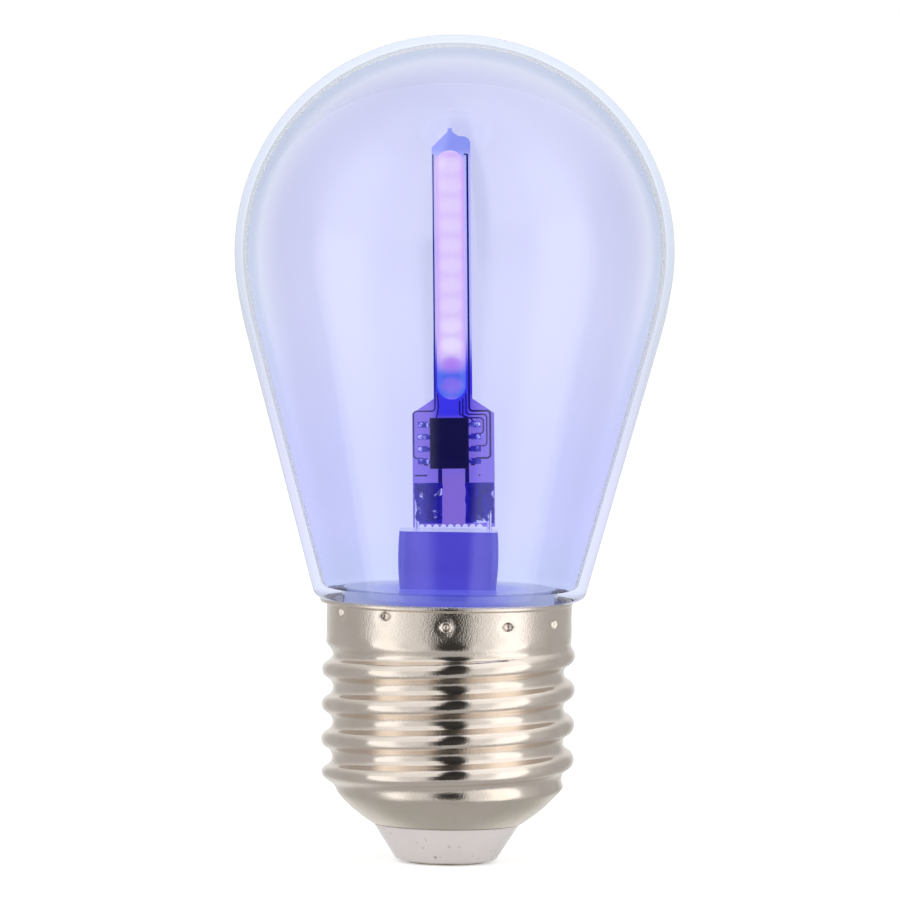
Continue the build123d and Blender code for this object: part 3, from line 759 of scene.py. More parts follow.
def globe_skin(sizes, inset, floor, corner):
    """Half section of one skin from the top of the ball to the floor."""
    start = math.degrees(sizes.blend_start)
    taper = math.degrees(sizes.taper)
    ball = sizes.radius - inset
    blend = sizes.blend_radius - inset
    middle_x = (sizes.radius - sizes.blend_radius) * math.cos(sizes.blend_start)
    middle_z = sizes.ball_level - (sizes.radius - sizes.blend_radius) * math.sin(sizes.blend_start)
    wide = sizes.crown_radius
    squares = sizes.radius ** 2 + sizes.crown ** 2 - 2 * sizes.crown * wide
    tight = squares / (2 * (sizes.radius - wide))
    turn = math.degrees(math.atan2(wide - sizes.crown, sizes.radius - tight))
    points = arc((0, sizes.ball_level + sizes.crown - wide), wide - inset, 90, turn, 18)
    points[0] = (0, sizes.ball_level + sizes.crown - inset)
    points += arc((sizes.radius - tight, sizes.ball_level), tight - inset, turn, 0, 34)[1:]
    points += arc((0, sizes.ball_level), ball, 0, -start, 6)[1:]
    points += arc((middle_x, middle_z), blend, -start, -taper, 10)[1:]
    last = points[-1]
    end = (last[0] - math.tan(sizes.taper) * (last[1] - floor), floor)
    turn = (math.pi / 2 - sizes.taper) / 2
    reach = corner * math.tan(turn)
    side_end = (end[0] + reach * math.sin(sizes.taper), end[1] + reach * math.cos(sizes.taper))
    side_steps = 16
    for i in range(1, side_steps):
        part = i / side_steps
        points.append(tuple(a + (b - a) * part for a, b in zip(last, side_end)))
    points += arc((end[0] - reach, floor + corner), corner, -taper, -90, 10)
    return points


class BULB_OT_screw_cap(bpy.types.Operator):
    """Roll the thread shell with its flared rim and crimp marks"""

    bl_idname = "bulb.screw_cap"
    bl_label = "Screw cap"

    def execute(self, context):
        cap = context.scene.bulb_cap
        material = metal_material(cap)
        tree = shell_tree()
        values = {
            "Around": 288,
            "Thread Rows": 112,
            "Rim Rows": 44,
            "Rim Rows From": 24.0 * MM,
            "Material": material,
        }
        for label in SHELL_SIZES:
            values[label] = getattr(cap, label.lower().replace(" ", "_"))
        mesh = run_tree(bpy.data.meshes.new("seed"), tree, values)
        finish_mesh(mesh, 60)
        place("thread_shell", mesh, material, "nickel_cap", "screw_shell")
        return {"FINISHED"}


FINISHES = ("metal", "groove")
SHELL_SIZES = [
    name.replace("_", " ").title() for name in CapSizes.__annotations__ if name not in FINISHES
]


def wave_height(distance, pitch, depth):
    """Height of a rolled thread of two tangent arcs, at a distance from a crest."""
    half = pitch / 2.0
    spread = 2.0 * (depth / half).math("ARCTANGENT")
    bow = half / (2.0 * spread.sin())
    gap = ((distance + half).wrapped(pitch) - half).math("ABSOLUTE")
    near = half / 2.0
    top = depth / 2.0 - bow + (bow * bow - gap * gap).root()
    rest = half - gap
    low = bow - depth / 2.0 - (bow * bow - rest * rest).root()
    return choose(gap.above(near), low, top)


def shell_tree():
    """Thread shell: one grid of rows that runs up the outside and down the inside."""
    sockets = {"Around": "Int", "Thread Rows": "Int", "Rim Rows": "Int", "Rim Rows From": "Float"}
    for label in SHELL_SIZES:
        sockets[label] = "Float"
    sockets["Material"] = "Material"
    graph, given, end = new_geometry_tree("thread_shell", sockets)
    size = {label: graph.number(given[label]) for label in sockets if label != "Material"}
    around = size["Around"]
    low_rows = size["Thread Rows"]
    side_rows = low_rows + size["Rim Rows"]
    all_rows = side_rows * 2.0 + 3.0
    grid = graph.add("GeometryNodeMeshGrid")
    graph.feed(grid.inputs["Size X"], around)
    graph.feed(grid.inputs["Size Y"], side_rows * 2.0 + 2.0)
    graph.feed(grid.inputs["Vertices X"], around + 1.0)
    graph.feed(grid.inputs["Vertices Y"], all_rows)
    index = graph.number(graph.add("GeometryNodeInputIndex").outputs[0])
    column = ((index + 0.5) / all_rows).math("FLOOR")
    row = index - column * all_rows
    not_last = 1.0 - row.above(side_rows * 2.0 + 1.5)
    inside = row.above(side_rows + 0.5) * not_last
    climb = choose(inside, side_rows * 2.0 + 1.0 - row, row * not_last)
    low_step = (size["Rim Rows From"] - size["Foot Level"]) / low_rows
    high_step = (size["Height"] - size["Rim Rows From"]) / size["Rim Rows"]
    low_climb = climb.least(low_rows) * low_step
    level = size["Foot Level"] + low_climb + (climb - low_rows).most(0.0) * high_step
    even = column * math.tau / around
    gather = 0.55 / CRIMPS
    turn = even + size["Crimp Turn"] - (even * float(CRIMPS)).sin() * gather

    fade_in = ((size["Thread Top"] - level) / size["Thread Fade"]).smooth()
    mean = size["Crest Radius"] - size["Depth"] / 2.0
    straight = choose(fade_in, mean, size["Skirt Radius"])
    rise = (level - size["Foot Level"]).least(size["Foot Slope"] / size["Foot Curve"] / 2.0)
    dome = size["Foot Radius"] + rise * size["Foot Slope"] - rise * rise * size["Foot Curve"]
    gap = ((straight - dome) / size["Foot Bend"]).least(1.0).most(-1.0)
    blended = straight - size["Foot Bend"] * (gap + 1.0) * (gap + 1.0) / 4.0
    past_bend = gap.above(0.999)
    base = choose(past_bend, dome, blended)
    thread_foot = size["Foot Level"] + size["Thread End"] - size["Foot Fade"] / 2.0
    strength = fade_in * ((level - thread_foot) / size["Foot Fade"]).smooth()
    crest = size["Crest Level"] + size["Pitch"] * turn / math.tau
    radius = base + strength * wave_height(level - crest, size["Pitch"], size["Depth"])

    lip_start = size["Height"] - size["Band"]
    lip_bend = size["Band"] * 0.4
    swung = size["Flare"] - size["Flare Swing"] * turn.cos()
    flare = swung * ((level - lip_start) / lip_bend).smooth()
    half_step = CRIMP_STEP / 2
    off = (turn - size["Crimp Turn"] + half_step).wrapped(CRIMP_STEP) - half_step
    left = 1.0 - turn.cos().above(JAW_SPLIT)
    mark = size["Crimp Level"] + size["Jaw Step"] * left
    away = off * off * size["Skirt Radius"] * size["Skirt Radius"] + (level - mark) * (level - mark)
    punch = size["Crimp Radius"]
    pit = ((punch * punch - away).root() - (punch - size["Crimp Depth"])).most(0.0)
    reach = (punch * 2.4).math("POWER", 2.0)
    dent = size["Dent Depth"] * (1.0 - away / reach).smooth()
    front = 1.0 - (turn.sin() + 0.96).above(0.0)
    deeper = 0.6
    radius = radius + flare - pit - dent * (1.0 + deeper * front)

    place_at = graph.add("ShaderNodeCombineXYZ")
    graph.feed(place_at.inputs[0], radius * turn.cos())
    graph.feed(place_at.inputs[1], radius * turn.sin())
    graph.feed(place_at.inputs[2], level)
    formed = set_position(graph, grid.outputs[0], "Position", place_at)
    normal = graph.add("GeometryNodeInputNormal").outputs[0]
    thick = graph.add("ShaderNodeVectorMath", {0: normal}, operation="SCALE")
    graph.feed(thick.inputs["Scale"], inside * size["Sheet"])
    lined = set_position(graph, formed, "Offset", thick)
    merge = {"Geometry": lined, "Distance": MERGE * 10}
    merged = graph.add("GeometryNodeMergeByDistance", merge)
    end_tree(graph, merged.outputs[0], given["Material"], end)
    return graph.tree


def inside_foot(cap, level):
    """Radius of the inside of the cap's domed foot at a height."""
    rise = min(level - cap.foot_level, cap.foot_slope / cap.foot_curve / 2)
    slope = cap.foot_slope - 2 * rise * cap.foot_curve
    outside = cap.foot_radius + rise * cap.foot_slope - rise * rise * cap.foot_curve
    return outside - cap.sheet * math.sqrt(1 + slope * slope)


class BULB_OT_base(bpy.types.Operator):
    """Turn the glazed insulator and the centre contact"""

    bl_idname = "bulb.base"
    bl_label = "Base"

    def execute(self, context):
        base = context.scene.bulb_base
        cap = context.scene.bulb_cap
        bore = base.shank_radius + base.fit
        seat = base.contact_radius + base.fit
        deck = base.top_level - base.dish
        collar = cap.foot_level - base.fit
        points = [
            (bore, base.contact_height),
            (seat, base.contact_height),
            (seat, base.proud),
            (base.tip_radius, base.proud),
            (base.collar_radius, collar),
            (inside_foot(cap, cap.foot_level) - base.fit, collar),
        ]
        steps = 12
        for i in range(steps + 1):
            level = cap.foot_level + (base.top_level - cap.foot_level) * i / steps
            points.append((inside_foot(cap, level) - base.fit, level))
        dish = points[-1][0] - base.dish
        points += [(dish, base.top_level), (dish - base.dish, deck), (bore, deck)]
        seat_edge, tip_edge, collar_edge = 0.15 * MM, 0.5 * MM, 0.06 * MM
        outline = rounded_corners(points, {2: seat_edge, 3: tip_edge, 4: collar_edge})
        mesh = mesh_of("glazed_insulator", *turned_points(outline, 160), 35)
        place("glazed_insulator", mesh, glaze_material(base), "insulator_plastic", "base_insulator")
        sheet = 0.3 * MM
        head = base.shank_radius + 0.55 * MM
        hollow = base.shank_radius / 2
        floor = base.contact_height + 0.4 * MM
        points = [
            (0, 0),
            (base.contact_radius, 0),
            (base.contact_radius, base.contact_height),
            (base.shank_radius, base.contact_height),
            (base.shank_radius, deck),
            (head, deck),
            (head, deck + sheet),
            (hollow, deck + sheet),
            (hollow, floor),
            (0, floor),
        ]
        lower_edge, edge = 0.25 * MM, 0.1 * MM
        outline = rounded_corners(points, {1: lower_edge, 2: edge, 5: edge, 6: edge})
        mesh = mesh_of("centre_contact", *turned_points(outline, 128), 35)
        material = plain_metal("contact_metal", base.contact, 0.3)
        place("centre_contact", mesh, material, "contact_metal", "center_contact")
        return {"FINISHED"}


def glaze_material(base):
    """Glazed insulator: soft clouds and a few dark specks."""
    material, graph, sockets = new_material(
        "insulator_glaze", base.glaze, Roughness=0.22, Coat_Weight=0.6, Coat_Roughness=0.08
    )
    fine, clouds = grain(graph, fine=1500.0, wide=260.0)
    specks = ((fine - 0.66) * 9.0).clamped()
    shade = graph.mix(clouds * 0.5, base.glaze, darker(base.glaze, 0.86))
    graph.feed(sockets["Base Color"], graph.mix(specks, shade, base.speck))
    bump(graph, sockets, clouds, strength=0.12, distance=0.2 * MM)
    return material


class BULB_OT_board(bpy.types.Operator):
    """Finish the board, its copper lines and its pads"""

    bl_idname = "bulb.board"
    bl_label = "Board"

    def execute(self, context):
        board = context.scene.bulb_board
        dress("circuit_board", mask_material(board))
        copper = lit_material(
            "copper_lines",
            board.copper,
            board.copper_clouds,
            rough=0.4,
            fine_scale=5000.0,
            cloud_scale=900.0,
            Specular_IOR_Level=0.12,
        )
        dress("copper_tracks", copper)
        pads = lit_metal("tinned_pads", board.pad_tin, board.pad_glow, rough=0.2, glints=(0.0, 1.0))
        dress("solder_pads", pads)
        return {"FINISHED"}


def mask_material(board):
    """Solder mask in the blue light: violet foot, painted deep blue glow under the chips, painted
    pale light beside them, painted blue glow at the tip.
    """
    material, graph, sockets = new_lit("board_mask", board.mask, Roughness=0.4)
    across, along = board_place(graph, board)
    off = across.math("ABSOLUTE")
    fine, clouds = grain(graph, fine=2500.0, wide=420.0)
    middle = between(off, 1.9 * MM, 0.9 * MM) * between(along, 6.5 * MM, 4.8 * MM)
    # Painted pools of the chips' light: deep blue by the lowest chips, pale beside the chips, blue
    # at the tip.
    waist = between(along, 10.9 * MM, 11.8 * MM) * between(off, 2.4 * MM, 1.3 * MM)
    low = waist.most(between(along, 12.6 * MM, 14.2 * MM))
    chip_glow = between(along, 15.8 * MM, 21.0 * MM)
    tip = between(along, 38.0 * MM, 39.4 * MM)
    shade = graph.mix(middle, board.mask, board.mask_middle)
    shade = graph.mix(clouds * 0.35, shade, board.mask_middle)
    shade = graph.mix(low, shade, board.mask_low)
    shade = graph.mix(chip_glow, shade, board.mask_strip)
    light_up(graph, sockets, graph.mix(tip, shade, board.mask_tip))
    bump(graph, sockets, fine, strength=0.15, distance=0.04 * MM)
    return material


def copies_tree():
    """A row of copies of the carrier's mesh, on one side or on both."""
    name = "row_of_copies"
    if name in bpy.data.node_groups:
        return bpy.data.node_groups[name]
    sockets = {
        "Count": "Int",
        "Pitch": "Float",
        "Middle": "Vector",
        "Both Sides": "Int",
        "Material": "Material",
    }
    graph, given, end = new_geometry_tree(name, sockets)
    number = graph.number(given["Count"])
    pitch = graph.number(given["Pitch"])
    step = graph.add("ShaderNodeCombineXYZ")
    graph.feed(step.inputs[2], pitch)
    start = graph.add("ShaderNodeCombineXYZ")
    graph.feed(start.inputs[2], pitch * (number - 1.0) / -2.0)
    line = graph.add("GeometryNodeMeshLine", mode="OFFSET")
    graph.feed(line.inputs["Count"], number)
    graph.feed(line.inputs["Start Location"], start.outputs[0])
    graph.feed(line.inputs["Offset"], step.outputs[0])
    on_line = {"Points": line.outputs[0], "Instance": given["Geometry"]}
    row = graph.add("GeometryNodeInstanceOnPoints", on_line)
    sides = graph.add("GeometryNodeMeshLine", mode="OFFSET")
    graph.feed(sides.inputs["Count"], given["Both Sides"])
    graph.feed(sides.inputs["Start Location"], (0.0, 0.0, 0.0))
    graph.feed(sides.inputs["Offset"], (0.0, 0.0, 0.0))
    side = graph.number(graph.add("GeometryNodeInputIndex").outputs[0])
    half_turn = graph.add("ShaderNodeCombineXYZ")
    graph.feed(half_turn.inputs[1], side * math.pi)
    on_sides = {"Points": sides.outputs[0], "Instance": row.outputs[0]}
    both = graph.add("GeometryNodeInstanceOnPoints", on_sides)
    graph.feed(both.inputs["Rotation"], half_turn.outputs[0])
    real = graph.add("GeometryNodeRealizeInstances", {"Geometry": both.outputs[0]})
    shift = graph.add("ShaderNodeVectorMath", {0: given["Middle"]}, operation="ADD")
    moved = set_position(graph, real.outputs[0], "Offset", shift)
    end_tree(graph, moved, given["Material"], end)
    return graph.tree


def place_copies(board, seed, values, sharp, name, slot, node):
    """Copies of a small mesh, on the leaning board, as one piece."""
    mesh = run_tree(seed, copies_tree(), values)
    mesh.transform(board_matrix(board))
    finish_mesh(mesh, sharp)
    place(name, mesh, values["Material"], slot, node)


def prism(outline, front, back):
    """Points and faces of an upright outline drawn out from front to back."""
    points = [(x, depth, z) for depth in (front, back) for x, z in outline]
    size = len(outline)
    faces = [tuple(range(size)), tuple(range(size, 2 * size))]
    faces += [(i, (i + 1) % size, (i + 1) % size + size, i + size) for i in range(size)]
    return points, faces


def bevelled(mesh, width, segments):
    """A mesh with its sharp edges rounded."""
    sharp = math.radians(40)
    work = bmesh.new()
    work.from_mesh(mesh)
    bmesh.ops.recalc_face_normals(work, faces=work.faces)
    edges = [edge for edge in work.edges if edge.is_manifold and edge.calc_face_angle() > sharp]
    bmesh.ops.bevel(
        work,
        geom=edges,
        offset=width,
        segments=segments,
        profile=0.5,
        affect="EDGES",
        clamp_overlap=True,
    )
    work.to_mesh(mesh)
    work.free()
    return finish_mesh(mesh, 35)


class BULB_OT_chip_strip(bpy.types.Operator):
    """Set the light chips in their row and pour the gel over them"""

    bl_idname = "bulb.chip_strip"
    bl_label = "Chip strip"

    def execute(self, context):
        board = context.scene.bulb_board
        middle = board.bead_top - board.bead_length / 2
        across, along = 0.4 * MM, 0.25 * MM
        front, back, edge = -0.6 * MM, -0.4 * MM, 0.03 * MM
        outline = [(-across, -along), (across, -along), (across, along), (-across, along)]
        seed = mesh_of("chip", *prism(outline, front, back))
        bevelled(seed, edge, 2)
        values = {
            "Count": board.die_count,
            "Pitch": board.die_pitch,
            "Middle": (board.bead_offset, 0.0, middle),
            "Both Sides": 1,
            "Material": lit_material("light_chips", board.chip_light, board.chip_clouds, 0.3),
        }
        place_copies(board, seed, values, 35, "light_chips", "led_chips", "led_dies")
        mesh = gel_mesh(board, middle)
        mesh.transform(board_matrix(board))
        place("gel_strip", mesh, gel_material(board, middle), "bead_silicone", "led_bead")
        return {"FINISHED"}


def gel_mesh(board, middle):
    """A poured bead with round ends and a low domed face."""
    radius = board.bead_width / 2
    straight = board.bead_length / 2 - radius
    wall = 0.12
    steps = 10
    end_steps = 24
    back = -0.4 * MM
    levels = [(1.0, 0.0), (1.0, wall)]
    for i in range(1, steps + 1):
        turn = math.pi / 2 * i / steps
        levels.append((1 - 0.62 * (1 - math.cos(turn)) ** 1.1, wall + 0.88 * math.sin(turn)))
    levels += [(0.25, 1.035), (0.0, 1.05)]
    points = []
    for shrink, height in levels:
        for end, first in ((1, 0), (-1, math.pi)):
            for i in range(end_steps + 1):
                turn = math.pi * i / end_steps + first
                reach = radius * shrink
                across = board.bead_offset + reach * math.cos(turn)
                along = middle + end * straight + reach * math.sin(turn)
                points.append((across, back - board.bead_height * height, along))
    faces = stacked_faces(len(levels), 2 * (end_steps + 1))
    return mesh_of("gel_strip", points, faces, 60)


def gel_material(board, middle):
    """Milky gel: soft spots over the chips, a pink fringe, blue where the light thins out."""
    material, graph, sockets = new_lit("gel_strip", board.gel, Roughness=0.25)
    across, along = board_place(graph, board)
    across = (across - board.bead_offset) / (board.bead_width / 2)
    along = along - middle
    off = across.math("ABSOLUTE")
    half_row = board.die_pitch * board.die_count / 2
    phase = (along + half_row).wrapped(board.die_pitch) - board.die_pitch / 2
    spot = 1.12 * MM
    step = phase / spot
    near = (1.0 - (off * off + step * step)).smooth()
    low = between(along, -7.9 * MM, -10.6 * MM)
    low_chips = between(along, -8.0 * MM, -8.4 * MM)
    strength = 0.5 + 0.5 * between(along, -3.5 * MM, -6.9 * MM)
    top = board.bead_length / 2
    fringe = between(off, 0.55, 0.95).most(between(along, top - 1.2 * MM, top))
    gel = graph.mix(fringe * 0.5, board.gel, board.fringe)
    gel = graph.mix(low, gel, board.low_gel)
    light = graph.mix(low_chips, board.chip_light, board.low_chip)
    _, clouds = grain(graph, fine=1800.0, wide=600.0)
    shade = graph.mix(near * strength * (1.0 - 0.6 * low), gel, light)
    light_up(graph, sockets, graph.mix(clouds * 0.12, shade, board.gel))
    bump(graph, sockets, clouds, strength=0.1, distance=0.1 * MM)
    return material


class BULB_OT_driver(bpy.types.Operator):
    """Mould the driver's body and set its leads and solder joints"""

    bl_idname = "bulb.driver"
    bl_label = "Driver"

    def execute(self, context):
        board = context.scene.bulb_board
        bottom = board.face + STANDOFF
        waist = bottom + board.ic_height / 2
        top = bottom + board.ic_height
        draft = math.tan(math.radians(7)) * board.ic_height / 2
        points = []
        for height, inset in ((bottom, draft), (waist, 0), (top, draft)):
            across = board.ic_width / 2 - inset
            along = board.ic_length / 2 - inset
            for x, z in ((-1, -1), (1, -1), (1, 1), (-1, 1)):
                points.append((board.ic_offset + x * across, -height, board.ic_level + z * along))
        faces = [(0, 1, 2, 3), (8, 9, 10, 11)]
        for ring in (0, 4):
            for i in range(4):
                k = (i + 1) % 4
                faces.append((ring + i, ring + k, ring + k + 4, ring + i + 4))
        edge = 0.09 * MM
        mesh = bevelled(mesh_of("driver_body", points, faces), edge, 3)
        mesh.transform(board_matrix(board))
        epoxy = lit_material(
            "moulded_epoxy",
            board.epoxy,
            board.epoxy_clouds,
            rough=0.45,
            fine_scale=6000.0,
            Specular_IOR_Level=0.12,
        )
        place("driver_body", mesh, epoxy, "chip_epoxy", "driver_ic")
        values = {
            "Count": board.leads,
            "Pitch": board.lead_pitch,
            "Middle": (board.ic_offset, 0.0, board.ic_level),
            "Both Sides": 2,
            "Material": lit_metal("lead_tin", board.lead_tin, board.lead_glow, 0.12, (0.4, 0.7)),
        }
        seed = lead_mesh(board, waist)
        place_copies(board, seed, values, 35, "driver_leads", "tinned_metal", "ic_leads")
        seed = joint_mesh(board)
        solder = lit_metal("joint_solder", board.solder, board.joint_glow, 0.05, (0.3, 0.5))
        values["Material"] = solder
        place_copies(board, seed, values, 50, "driver_joints", "solder", "ic_solder_joints")
        return {"FINISHED"}


def ribbon(path, thickness, width):
    """Points and faces of a flat strip along a path in the XY plane, as wide as given along Z."""
    upper = []
    lower = []
    for i, point in enumerate(path):
        here = Vector(point)
        before = Vector(path[max(0, i - 1)])
        after = Vector(path[min(len(path) - 1, i + 1)])
        along = (after - before).normalized()
        side = Vector((-along.y, along.x)) * thickness / 2
        upper.append(tuple(here + side))
        lower.append(tuple(here - side))
    outline = upper + lower[::-1]
    points = [(x, y, z) for z in (-width / 2, width / 2) for x, y in outline]
    size = len(outline)
    steps = len(path)
    faces = []
    for i in range(steps - 1):
        far = size - 1 - i
        faces.append((i, i + 1, far - 1, far))
        faces.append((i + size, i + 1 + size, far - 1 + size, far + size))
    faces += [(i, (i + 1) % size, (i + 1) % size + size, i + size) for i in range(size)]
    return points, faces


def lead_mesh(board, waist):
    """One gull-wing lead, from inside the body down to its toe."""
    seat = board.face + STANDOFF
    toe = board.lead_span / 2
    knee = board.ic_width / 2
    steps = 8
    path = [(knee - 0.05 * MM, -waist), (knee + 0.12 * MM, -waist)]
    for i in range(steps + 1):
        part = i / steps
        eased = part * part * (3 - 2 * part)
        path.append((knee + (0.18 + 0.3 * part) * MM, -waist + (waist - seat) * eased))
    foot = 0.4 * MM
    path += [(toe - foot, -seat), (toe, -seat)]
    thickness, width, edge = 0.2 * MM, 0.42 * MM, 0.03 * MM
    mesh = mesh_of("lead", *ribbon(path, thickness, width))
    return bevelled(mesh, edge, 2)


def joint_mesh(board):
    """A small solder fillet climbing over the toe of a lead."""
    toe = board.lead_span / 2
    reach, half_width, height = 0.36 * MM, 0.27 * MM, 0.3 * MM
    around = 16
    rows = 9
    points = []
    for i in range(rows):
        tilt = math.pi / 2 * i / (rows - 1)
        for j in range(around):
            turn = math.tau * j / around
            x = toe + reach * math.cos(tilt) * math.cos(turn)
            z = half_width * math.cos(tilt) * math.sin(turn)
            points.append((x, -board.face - height * math.sin(tilt), z))
    return mesh_of("joint", points, stacked_faces(rows, around), 50)


class BULB_OT_solder_and_wires(bpy.types.Operator):
    """Flow the solder over the wire pads and finish the lead wires"""

    bl_idname = "bulb.solder_and_wires"
    bl_label = "Solder and wires"

    def execute(self, context):
        board = context.scene.bulb_board
        solder = lit_metal(
            "flowed_solder",
            board.solder,
            board.pool_glow,
            rough=0.06,
            glints=(0.66, 0.76),
            fine_scale=700.0,
        )
        for side, name, seed in ((-1, "left", 3), (1, "right", 8)):
            mesh = pool_mesh(board, side, seed)
            mesh.transform(board_matrix(board))
            place("solder_pool_" + name, mesh, solder, "solder", "solder_" + name)
        wire = lit_metal("bare_wire", board.solder, board.wire_glow, 0.08, (0.1, 0.4))
        for node in ("lead_wire_left", "lead_wire_right"):
            dress(node, wire)
        return {"FINISHED"}


def pool_mesh(board, side, seed):
    """Solder flowed over a wire pad: an uneven skin, thin at its edge, heaped along the wire."""
    columns = 36
    rows = 52
    middle = side * board.pad_side
    wire = board.wire_side * side - 0.11 * MM
    heap_width = 0.42 * MM
    heap_height = 0.35
    heap_end = 0.25
    skin = 0.03
    thinnest = 0.04
    behind = 0.02 * MM
    noise.seed_set(SOLDER_SEED)
    front = []
    back = []
    for j in range(rows + 1):
        v = 2 * j / rows - 1
        for i in range(columns + 1):
            u = 2 * i / columns - 1
            wobble = noise.noise_vector(Vector((u * 1.7, v * 2.1, seed)))
            x = middle + (u * (1 - 0.1 * abs(wobble.x)) * 0.52 + wobble.y * 0.03) * board.pad_width
            z = board.pad_level + (v * (1 - 0.06 * abs(wobble.z)) * 0.5) * board.pad_height
            edge = max(0.0, (1 - u ** 6) * (1 - v ** 8)) ** 0.5
            swell = 0.34 + 0.20 * noise.noise(Vector((u * 1.3, v * 1.6, seed + 4.5)))
            swell += 0.03 * noise.noise(Vector((u * 3.6, v * 5.0, seed + 9.5)))
            ending = 1 if v < heap_end else max(0, 1 - (v - heap_end) * 3)
            heap = math.exp(-(((x - wire) / heap_width) ** 2)) * (heap_height * ending)
            depth = (skin + edge * max(thinnest, swell + heap)) * MM
            front.append((x, -board.face - depth, z))
            back.append((x, -board.face + behind, z))
    wide = columns + 1
    size = len(front)
    faces = []
    for j in range(rows):
        for i in range(columns):
            k = j * wide + i
            faces.append((k, k + 1, k + wide + 1, k + wide))
            faces.append((size + k, size + k + 1, size + k + wide + 1, size + k + wide))
    rim = list(range(wide))
    rim += [j * wide + columns for j in range(1, rows + 1)]
    rim += [rows * wide + i for i in range(columns - 1, -1, -1)]
    rim += [j * wide for j in range(rows - 1, 0, -1)]
    faces += [(a, b, size + b, size + a) for a, b in zip(rim, rim[1:] + rim[:1])]
    return mesh_of("solder_pool", front + back, faces, 60)


class BULB_OT_stem(bpy.types.Operator):
    """Finish the stem block and the plate under it"""

    bl_idname = "bulb.stem"
    bl_label = "Stem"

    def execute(self, context):
        board = context.scene.bulb_board
        dress("stem_block", block_material(board))
        dress("neck_plug", plug_material(board))
        return {"FINISHED"}


def block_material(board):
    """Glossy resin in the blue light, with painted shade, deeper blue towards its sides, and
    painted light, pale on its upper face.
    """
    material, graph, sockets = new_lit(
        "block_resin", board.resin, Roughness=0.3, Coat_Weight=1.0, Coat_Roughness=0.04
    )
    across, _, _ = object_place(graph)
    off = (across + 0.2 * MM).math("ABSOLUTE")
    _, clouds = grain(graph, fine=1600.0, wide=240.0)
    # Painted shade towards the sides.
    shade = graph.mix(between(off, 3.0 * MM, 4.9 * MM), board.resin, board.resin_side)
    shade = graph.mix(clouds * 0.4, shade, board.resin_clouds)
    # Painted light on the upward face.
    top = between(upward(graph), 0.6, 0.95)
    light_up(graph, sockets, graph.mix(top, shade, board.resin_top))
    bump(graph, sockets, clouds, strength=0.3, distance=0.3 * MM)
    return material


def plug_material(board):
    """The plate in the neck, with a painted pool of blue light: blue near the block, paler
    outwards, and so more slowly in front.
    """
    material, graph, sockets = new_lit(
        "plug_plate", board.plug, Roughness=0.4, Coat_Weight=0.5, Coat_Roughness=0.1
    )
    across, depth, _ = object_place(graph)
    front_share = 0.45
    ahead = (depth * -1.0).most(0.0) * front_share + depth.most(0.0)
    out = (across.math("POWER", 2.0) + ahead.math("POWER", 2.0)).root()
    _, clouds = grain(graph, fine=1600.0, wide=300.0)
    # Painted pool of blue light round the block.
    outward = between(out + clouds * 0.8 * MM, 5.2 * MM, 10.6 * MM)
    light_up(graph, sockets, graph.mix(outward, board.plug, board.plug_edge))
    bump(graph, sockets, clouds, strength=0.2, distance=0.2 * MM)
    return material


class BULB_OT_cap_inside(bpy.types.Operator):
    """Finish the resistor and the lead inside the cap"""

    bl_idname = "bulb.cap_inside"
    bl_label = "Inside the cap"

    def execute(self, context):
        base = context.scene.bulb_base
        material, graph, sockets = new_material("resistor_coat", base.resistor, Roughness=0.45)
        _, _, level = object_place(graph)
        ring_foot, ring_pitch, ring_height = 12.2 * MM, 1.25 * MM, 0.45 * MM
        gap = ((level - ring_foot).wrapped(ring_pitch) - ring_height).above(0.0)
        graph.feed(sockets["Base Color"], graph.mix(gap, base.resistor_ring, base.resistor))
        fine, _ = grain(graph, fine=2500.0, wide=500.0)
        bump(graph, sockets, fine, strength=0.15, distance=0.05 * MM)
        dress("fuse_resistor", material)
        dress("contact_lead", plain_metal("contact_wire", base.lead, 0.25))
        return {"FINISHED"}


class BULB_OT_stage(bpy.types.Operator):
    """Set up floor, light and camera"""

    bl_idname = "bulb.stage"
    bl_label = "Stage"

    def execute(self, context):
        stage = context.scene.bulb_stage
        make_camera(stage)
        make_world(stage)
        make_floor()
        make_lamps(stage)
        make_tent(stage)
        context.scene.view_settings.view_transform = "Standard"
        return {"FINISHED"}


def make_camera(stage):
    data = bpy.data.cameras.new("camera")
    data.lens = stage.lens
    data.sensor_width = 36.0
    data.clip_start = 0.01
    data.clip_end = 20.0
    camera = bpy.data.objects.new("camera", data)
    bpy.context.scene.collection.objects.link(camera)
    back = Vector((0, -math.cos(stage.elevation), math.sin(stage.elevation)))
    aim = Vector((stage.aim_side, 0, stage.aim_level))
    camera.location = aim + back * stage.distance
    camera.rotation_mode = "QUATERNION"
    look = (-back).to_track_quat("-Z", "Y")
    camera.rotation_quaternion = look @ Quaternion((0, 0, 1), stage.roll)
    bpy.context.scene.camera = camera


def seen_rays(graph):
    """1 for camera, glossy and transmission rays."""
    path = graph.add("ShaderNodeLightPath").outputs
    total = graph.number(path["Is Camera Ray"]) + path["Is Glossy Ray"]
    return (total + path["Is Transmission Ray"]).clamped()


def reflected(graph):
    """1 for light that the gloss of something sent on, even through the glass."""
    return graph.number(graph.add("ShaderNodeLightPath").outputs["Glossy Depth"]).above(0.5)


def make_world(stage):
    world = bpy.data.worlds.new("plain_light")
    world.use_nodes = True
    bpy.context.scene.world = world
    graph = Graph(world.node_tree)
    sky = world.node_tree.nodes["Background"]
    sky.inputs["Color"].default_value = WHITE
    graph.feed(sky.inputs["Strength"], choose(seen_rays(graph), 1.0, graph.constant(stage.world)))


def stage_object(name, points, faces, material):
    mesh = bpy.data.meshes.new(name)
    mesh.from_pydata(points, [], faces)
    mesh.materials.append(material)
    thing = bpy.data.objects.new(name, mesh)
    bpy.context.scene.collection.objects.link(thing)
    return thing


